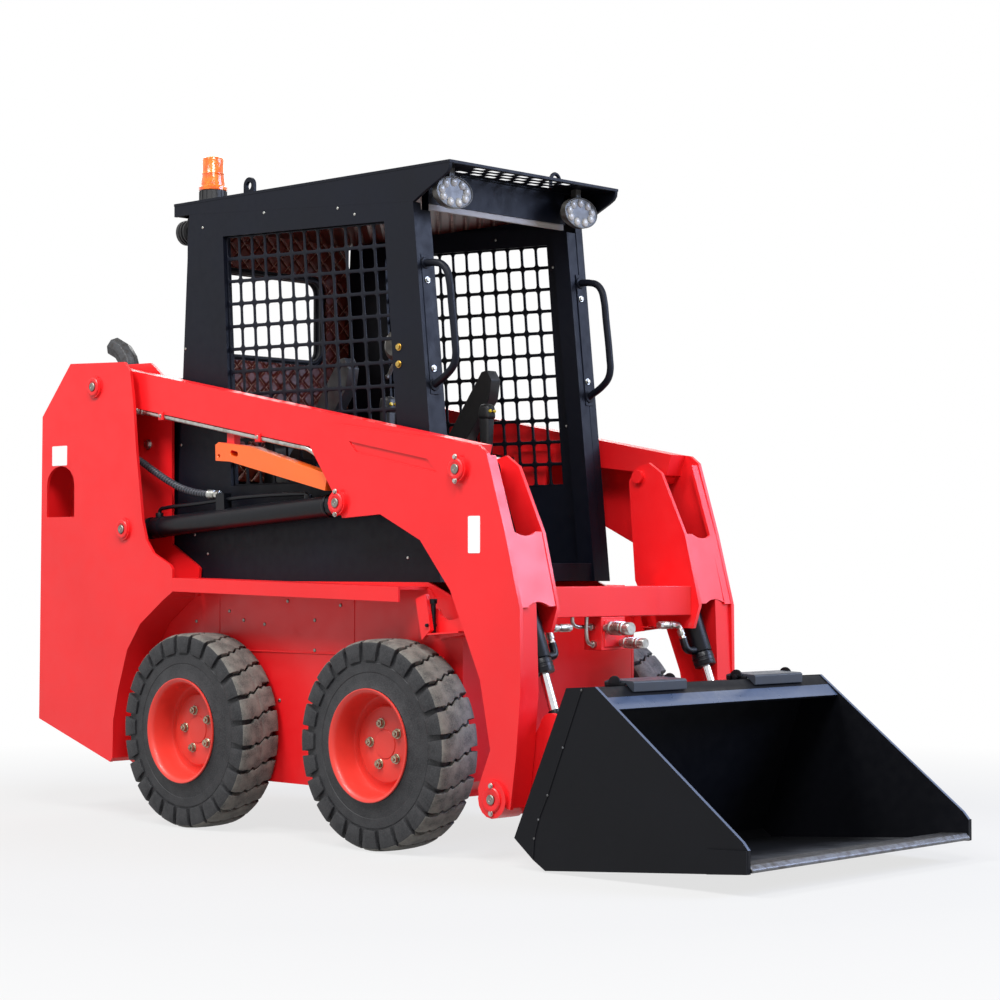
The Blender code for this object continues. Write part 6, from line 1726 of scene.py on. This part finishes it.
@dataclass
class SmallParts:
    """Labels, pins, plugs and weld seams on the chassis, the towers and the bucket."""

    stop_x: float = 1.011
    latch_x: float = 1.640
    latch_z: float = 0.496
    axle_z: float = 0.300

    def label(self, name: str, body: str, low: Pair, high: Pair, y: float, dresser: Dresser) -> None:
        """Blank vinyl label with rounded corners on an outer face."""
        side = math.copysign(1, y)
        plate = box(name, at(low[0], y - side * 0.0003, low[1]), at(high[0], y + side * 0.0008, high[1]))
        edit(plate, lambda edge: abs(edge.verts[0].co.y - edge.verts[1].co.y) > 0.0005, "EDGE")
        bpy.ops.mesh.bevel(offset=0.004, segments=4)
        leave()
        smoothed(plate, 40)
        dresser.hand_over(plate, body, [LABEL])

    def chassis(self, dresser: Dresser) -> None:
        """Bolts, a vertical seam and the shoulder rings of the axles on the chassis sides."""
        for side_name, side in SIDES.items():
            way, y = (0, side, 0), side * CHASSIS_SIDE
            places = [(at(x, y, z), way) for x, z in (
                (0.044, 0.666), (0.321, 0.700), (-0.120, 0.632), (0.113, 0.639), (0.213, 0.628), (0.445, 0.644),
                (0.445, 0.554), (0.560, 0.690), (0.284, 0.398), (-0.207, 0.506))]
            Fasteners(f"chassis_bolts_{side_name}", "frame", "chassis", PIN_STEEL, Fixing.ROUND, 0.0062).build(
                dresser, places)
            seam = [tube("seam", [at(x, y, low), at(x, y, high)], 0.0022, sides=2)
                    for x, low, high in ((-0.005, 0.20, 0.75), (0.620, 0.30, 0.72))]
            seam.append(tube("seam", [at(-0.250, y, 0.545), at(1.000, y, 0.545)], 0.0030, sides=2))
            for x in (0.0, WHEELBASE):
                seam.append(turned("ring", at(x, y, self.axle_z), "Y", (
                    (0.047, -0.001), (0.082, -0.001), (0.082, 0.004), (0.076, 0.007), (0.060, 0.007),
                    (0.055, 0.010), (0.047, 0.010), (0.047, -0.001)), 48, side))
            seam = joined(f"chassis_seams_{side_name}", seam)
            dresser.hand_over(seam, "frame", [RED])

    def stop_pins(self, dresser: Dresser) -> None:
        """Latch pins in the folded stop brackets."""
        for side_name, side in SIDES.items():
            y = side * 0.4225
            x = self.stop_x
            pin = bar("pin", at(x, y, 0.612), at(x, y, 0.708), 0.0072)
            head = bar("head", at(x, y, 0.700), at(x, y, 0.714), 0.0110)
            cross = bar("cross", at(x, side * 0.398, 0.640), at(x, side * 0.452, 0.640), 0.0050, 20)
            pin = smoothed(joined(f"latch_pin_{side_name}", [pin, head, cross]), 35)
            dresser.hand_over(pin, "frame", [CYLINDER_BLACK])

    def tower(self, dresser: Dresser) -> None:
        """Filler cap and a grey plug that show in the right tower's cut-out, and its copy on the left."""
        for side_name, side in SIDES.items():
            x, z, plate = -0.650, 0.990, side * TOWER_INNER_PLATE
            profile = [(0, -0.001), (0.014, -0.001), (0.014, 0.020), (0.030, 0.022), (0.031, 0.026), (0.028, 0.029),
                       (0.031, 0.032), (0.031, 0.036), (0.028, 0.039), (0.031, 0.042), (0.030, 0.050), (0, 0.052)]
            cap = turned(f"filler_cap_{side_name}", at(x, plate, z), "Y", profile, 36, side)
            dresser.hand_over(cap, "frame", [BLACK_PLASTIC])
            places = [(at(x + 0.010, plate, z + 0.060), (0, side, 0)), (at(-0.360, plate, 1.200), (0, side, 0))]
            Fasteners(f"tower_plugs_{side_name}", "frame", "hydraulic_block", ZINC, radius=0.013).build(
                dresser, places)

    def bucket(self, dresser: Dresser) -> None:
        """Weld seams down the bucket's sides, with the bare spots of tack welds."""
        line = ((1.6330, 0.484), (1.5680, 0.332), (1.5130, 0.204), (1.4800, 0.138), (1.4640, 0.087), (1.4600, 0.034))
        for side_name, side in SIDES.items():
            y = side * 0.4912
            seam = tube(f"bucket_seam_{side_name}", [at(x, y, z) for x, z in line], 0.0022, sides=2)
            dresser.hand_over(seam, "bucket", [BUCKET_BLACK])
            tacks = [(at(x, y + side * 0.0012, z), (0, side, 0)) for x, z in line[:-1]]
            Fasteners(f"bucket_tacks_{side_name}", "bucket", "cutting_edge", EDGE_STEEL, Fixing.ROUND, 0.0036).build(
                dresser, tacks)

    def latch_covers(self, dresser: Dresser) -> None:
        """Folded covers over the quick coupler's latches, with dark rounded end plates and a lever."""
        outline = ((1.600, 0.4890), (1.6785, 0.4935), (1.7005, 0.4755), (1.7035, 0.4770), (1.7035, 0.5010),
                   (1.6980, 0.5050), (1.6200, 0.5080), (1.6000, 0.5020))
        for side_name, side in SIDES.items():
            node = f"latch_cover_{side_name}"
            cover = flat_plate(f"{node}_folded", [at(x, side * 0.148, z) for x, z in outline], (0, side * 0.218, 0))
            bevelled(cover, 0.0018, 2, 30)
            weighted(smoothed(cover, 40))
            dresser.hand_over(cover, "bucket", [COVER_COAT], [node])
            ends, x, z = [], self.latch_x, self.latch_z
            for y in (0.1415, 0.3665):
                far = side * (y + 0.006)
                ends.append(bar("end", at(x, side * y, z), at(x, far, z), 0.0215, 36, 0.0015))
                ends.append(bevelled(box("foot", at(1.606, side * y, 0.4880), at(1.676, far, 0.5000)), 0.0015, 2, 50))
            ends.append(bar("pin", at(x, side * 0.134, z), at(x, side * 0.150, z), 0.0085, edge=0.0015))
            ends = smoothed(joined(f"latch_ends_{side_name}", ends), 35)
            dresser.hand_over(ends, "bucket", [BUCKET_BLACK])

    def corner_plates(self, dresser: Dresser) -> None:
        """Dark plates that close the gap between the cab's rear corners and the engine cover."""
        for side_name, side in SIDES.items():
            plate = block(f"corner_plate_{side_name}", at(-0.300, side * 0.336, 0.790),
                          at(-0.195, side * 0.348, 1.405), 0.003)
            weighted(smoothed(plate, 40))
            dresser.hand_over(plate, "frame", [CAB_BLACK])

    def build(self, dresser: Dresser) -> None:
        """Build every small part."""
        self.latch_covers(dresser)
        self.corner_plates(dresser)
        self.label("data_plate", "frame", (-0.738, 1.138), (-0.655, 1.203), -0.485, dresser)
        for side_name, side in SIDES.items():
            self.label(f"arm_label_{side_name}", "loader_arms", (1.187, 0.841), (1.233, 0.943),
                       side * 0.461, dresser)
        self.chassis(dresser)
        self.stop_pins(dresser)
        self.tower(dresser)
        self.bucket(dresser)


@dataclass
class Studio:
    """Pale floor, soft lamps and the camera at the photograph's place."""

    camera_place: Point = (4.9525, -4.929, 0.803)
    camera_turn: Point = (91.67, 0.0, 44.11)
    lens: float = 82.8
    floor_size: float = 60.0
    floor_fade: Pair = (1.9, 4.0)
    fill: float = 0.27

    def camera(self) -> None:
        """Create the camera."""
        deselect_all()
        turn = [math.radians(angle) for angle in self.camera_turn]
        bpy.ops.object.camera_add(location=self.camera_place, rotation=turn)
        made = bpy.context.object
        made.data.lens = self.lens
        made.data.sensor_width = 36
        made.data.clip_end = 200
        made.data.dof.use_dof = False
        bpy.context.scene.camera = made

    def floor(self) -> None:
        """Pale floor that keeps the soft shadow and fades into the white background."""
        floor = primitive("plane", "studio_floor", size=self.floor_size)
        shader = Shader("studio_floor")
        shader.set(Base_Color="A4A4A4", Roughness=0.9, Specular_IOR_Level=0.1)
        reach = shader.add("ShaderNodeVectorMath", {0: shader.place()}, operation="LENGTH")
        fade = shader.spread(reach.outputs["Value"], self.floor_fade, (0.74, 1))
        share = shader.math("MULTIPLY", shader.seen(), fade)
        white = shader.add("ShaderNodeEmission", {"Color": linear("FFFFFF"), "Strength": 1.0})
        blend = shader.add("ShaderNodeMixShader", {0: share, 1: shader.surface.outputs[0], 2: white.outputs[0]})
        shader.feed(shader.tree.nodes["Material Output"], "Surface", blend.outputs[0])
        floor.data.materials.append(shader.material)

    def lamp(self, name: str, place: Point, size: Pair, power: float, colour: str = "FFFFFF",
             aim: Point = (0, 0, 0.9)) -> None:
        """Soft rectangular lamp aimed at the machine."""
        turn = (Vector(aim) - Vector(place)).to_track_quat("-Z", "Y").to_euler()
        deselect_all()
        bpy.ops.object.light_add(type="AREA", location=place, rotation=turn)
        lamp = bpy.context.object
        lamp.name = name
        lamp.data.shape = "RECTANGLE"
        lamp.data.size, lamp.data.size_y = size
        lamp.data.energy = power
        lamp.data.color = linear(colour)[:3]

    def world(self) -> None:
        """White to the camera and in reflections, softer to the object."""
        world = bpy.data.worlds.new("studio")
        bpy.context.scene.world = world
        world.use_nodes = True
        nodes = NodeTree(world.node_tree)
        nodes.tree.nodes.clear()
        tones = [nodes.add("ShaderNodeBackground", {"Color": (1, 1, 1, 1), "Strength": strength}).outputs[0]
                 for strength in (self.fill, 1.0)]
        blend = nodes.add("ShaderNodeMixShader", {0: nodes.seen(), 1: tones[0], 2: tones[1]})
        nodes.add("ShaderNodeOutputWorld", {0: blend.outputs[0]})

    def build(self) -> None:
        """Set up the whole studio."""
        bpy.context.scene.view_settings.view_transform = "Standard"
        self.camera()
        self.floor()
        self.world()
        self.lamp("key", (4.0, -3.5, 6.5), (2.5, 2.5), 430)
        self.lamp("side", (-1.2, -4.8, 6.8), (2.5, 2.5), 460)
        self.lamp("front", (5.4, 3.6, 3.8), (4.0, 3.0), 520, "C4D6FF")
        self.lamp("rim", (-5.0, 4.0, 4.5), (4.0, 3.0), 180)


FINISH_OF_NODE: Sequence[tuple[str, object]] = (
    ("chassis", RED), ("tower", RED), ("fender", RED), ("cab_lining", QUILT), ("cab_", CAB_BLACK),
    ("side_mesh", CAB_BLACK), ("arm_pipe", ZINC), ("arm_rest", SEAT_VINYL), ("arm_", RED),
    ("hydraulic", ZINC), ("safety", ORANGE), ("lift_barrel", CYLINDER_BLACK), ("tilt_barrel", CYLINDER_BLACK),
    ("lift_rod", CHROME), ("tilt_rod", CHROME), ("quick_coupler", RED), ("bucket", BUCKET_BLACK),
    ("latch", BUCKET_BLACK), ("cutting", EDGE_STEEL), ("seat_base", CAB_BLACK), ("seat", SEAT_VINYL),
    ("control", BLACK_PLASTIC), ("grab", CAB_BLACK), ("front_lamp", LED_FACE), ("rear_lamp", BLACK_PLASTIC),
    ("beacon", AMBER), ("engine_cowl", CAB_BLACK), ("engine", IRON), ("exhaust", IRON), ("rear_door", RED),
)


# nodes that a detailed piece stands for
MODELLED = ("tyre_", "rim_", "side_mesh", "front_lamp", "rear_lamp", "beacon", "cab_roof", "hydraulic_block",
            "control_lever", "seat", "grab_handle", "latch_cover")


def dress_bucket(dresser: Dresser, bucket: Piece) -> None:
    """Painted bluish sky reflection on the bucket's lip and front edges where they face forward and up, and a scoured
    floor behind the cutting edge.
    """
    # faces on the lip band and the side edges that look forward and up get the painted sky reflection; the bisect
    # bounds the band at z 0.467
    edit(bucket, lambda face: face.normal.x > 0.35 and face.normal.z > 0.3 and face.calc_center_median().z > 0.436)
    bpy.ops.mesh.bisect(plane_co=(0, 0, 0.467), plane_no=(0, 0, 1))
    leave()
    dresser.repaint(bucket, [BUCKET_LIP_PAINTED_REFLECTION, SCOURED],
                    lambda face: face.normal.x > 0.35 and face.normal.z > 0.05
                    and (0.436 < face.center.z < 0.467 or abs(face.center.y) > 0.478),
                    lambda face: face.normal.z > 0.7 and face.center.z < 0.09)


def dress_frame(dresser: Dresser) -> None:
    """Soften and paint every node that no detailed piece stands for."""
    for node in sorted(dresser.nodes):
        if node.startswith(MODELLED) and node != "seat_base":
            continue
        finish = next(finish for prefix, finish in FINISH_OF_NODE if node.startswith(prefix))
        thing = dresser.soften(node, finish)
        if node == "bucket":
            dress_bucket(dresser, thing)
        if node == "safety_strut":
            dresser.repaint(thing, [RED], lambda face: 0.411 < abs(face.center.y) < 0.439 and face.center.z > 1.152)


def main() -> None:
    """Build the studio and every piece."""
    logging.basicConfig(level=logging.INFO, format="%(message)s")
    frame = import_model()
    dresser = Dresser(frame)
    Studio().build()
    dress_frame(dresser)
    for place, x in (("rear", AXLE_X), ("front", AXLE_X + WHEELBASE)):
        for side_name, side in SIDES.items():
            Wheel(place, side_name, side, x).build(dresser)
    for side_name in SIDES:
        SideGrille(side_name).build(dresser)
    Lamps().build(dresser)
    pin_heads(dresser)
    CabRoof().build(dresser)
    CabFittings().build(dresser)
    FrontHydraulics().build(dresser)
    for side_name, side in SIDES.items():
        LiftHydraulics(side_name, side).build(dresser)
        ArmPipe(side_name, side).build(dresser)
    SmallParts().build(dresser)
    seat(dresser)


if __name__ == "__main__":
    main()
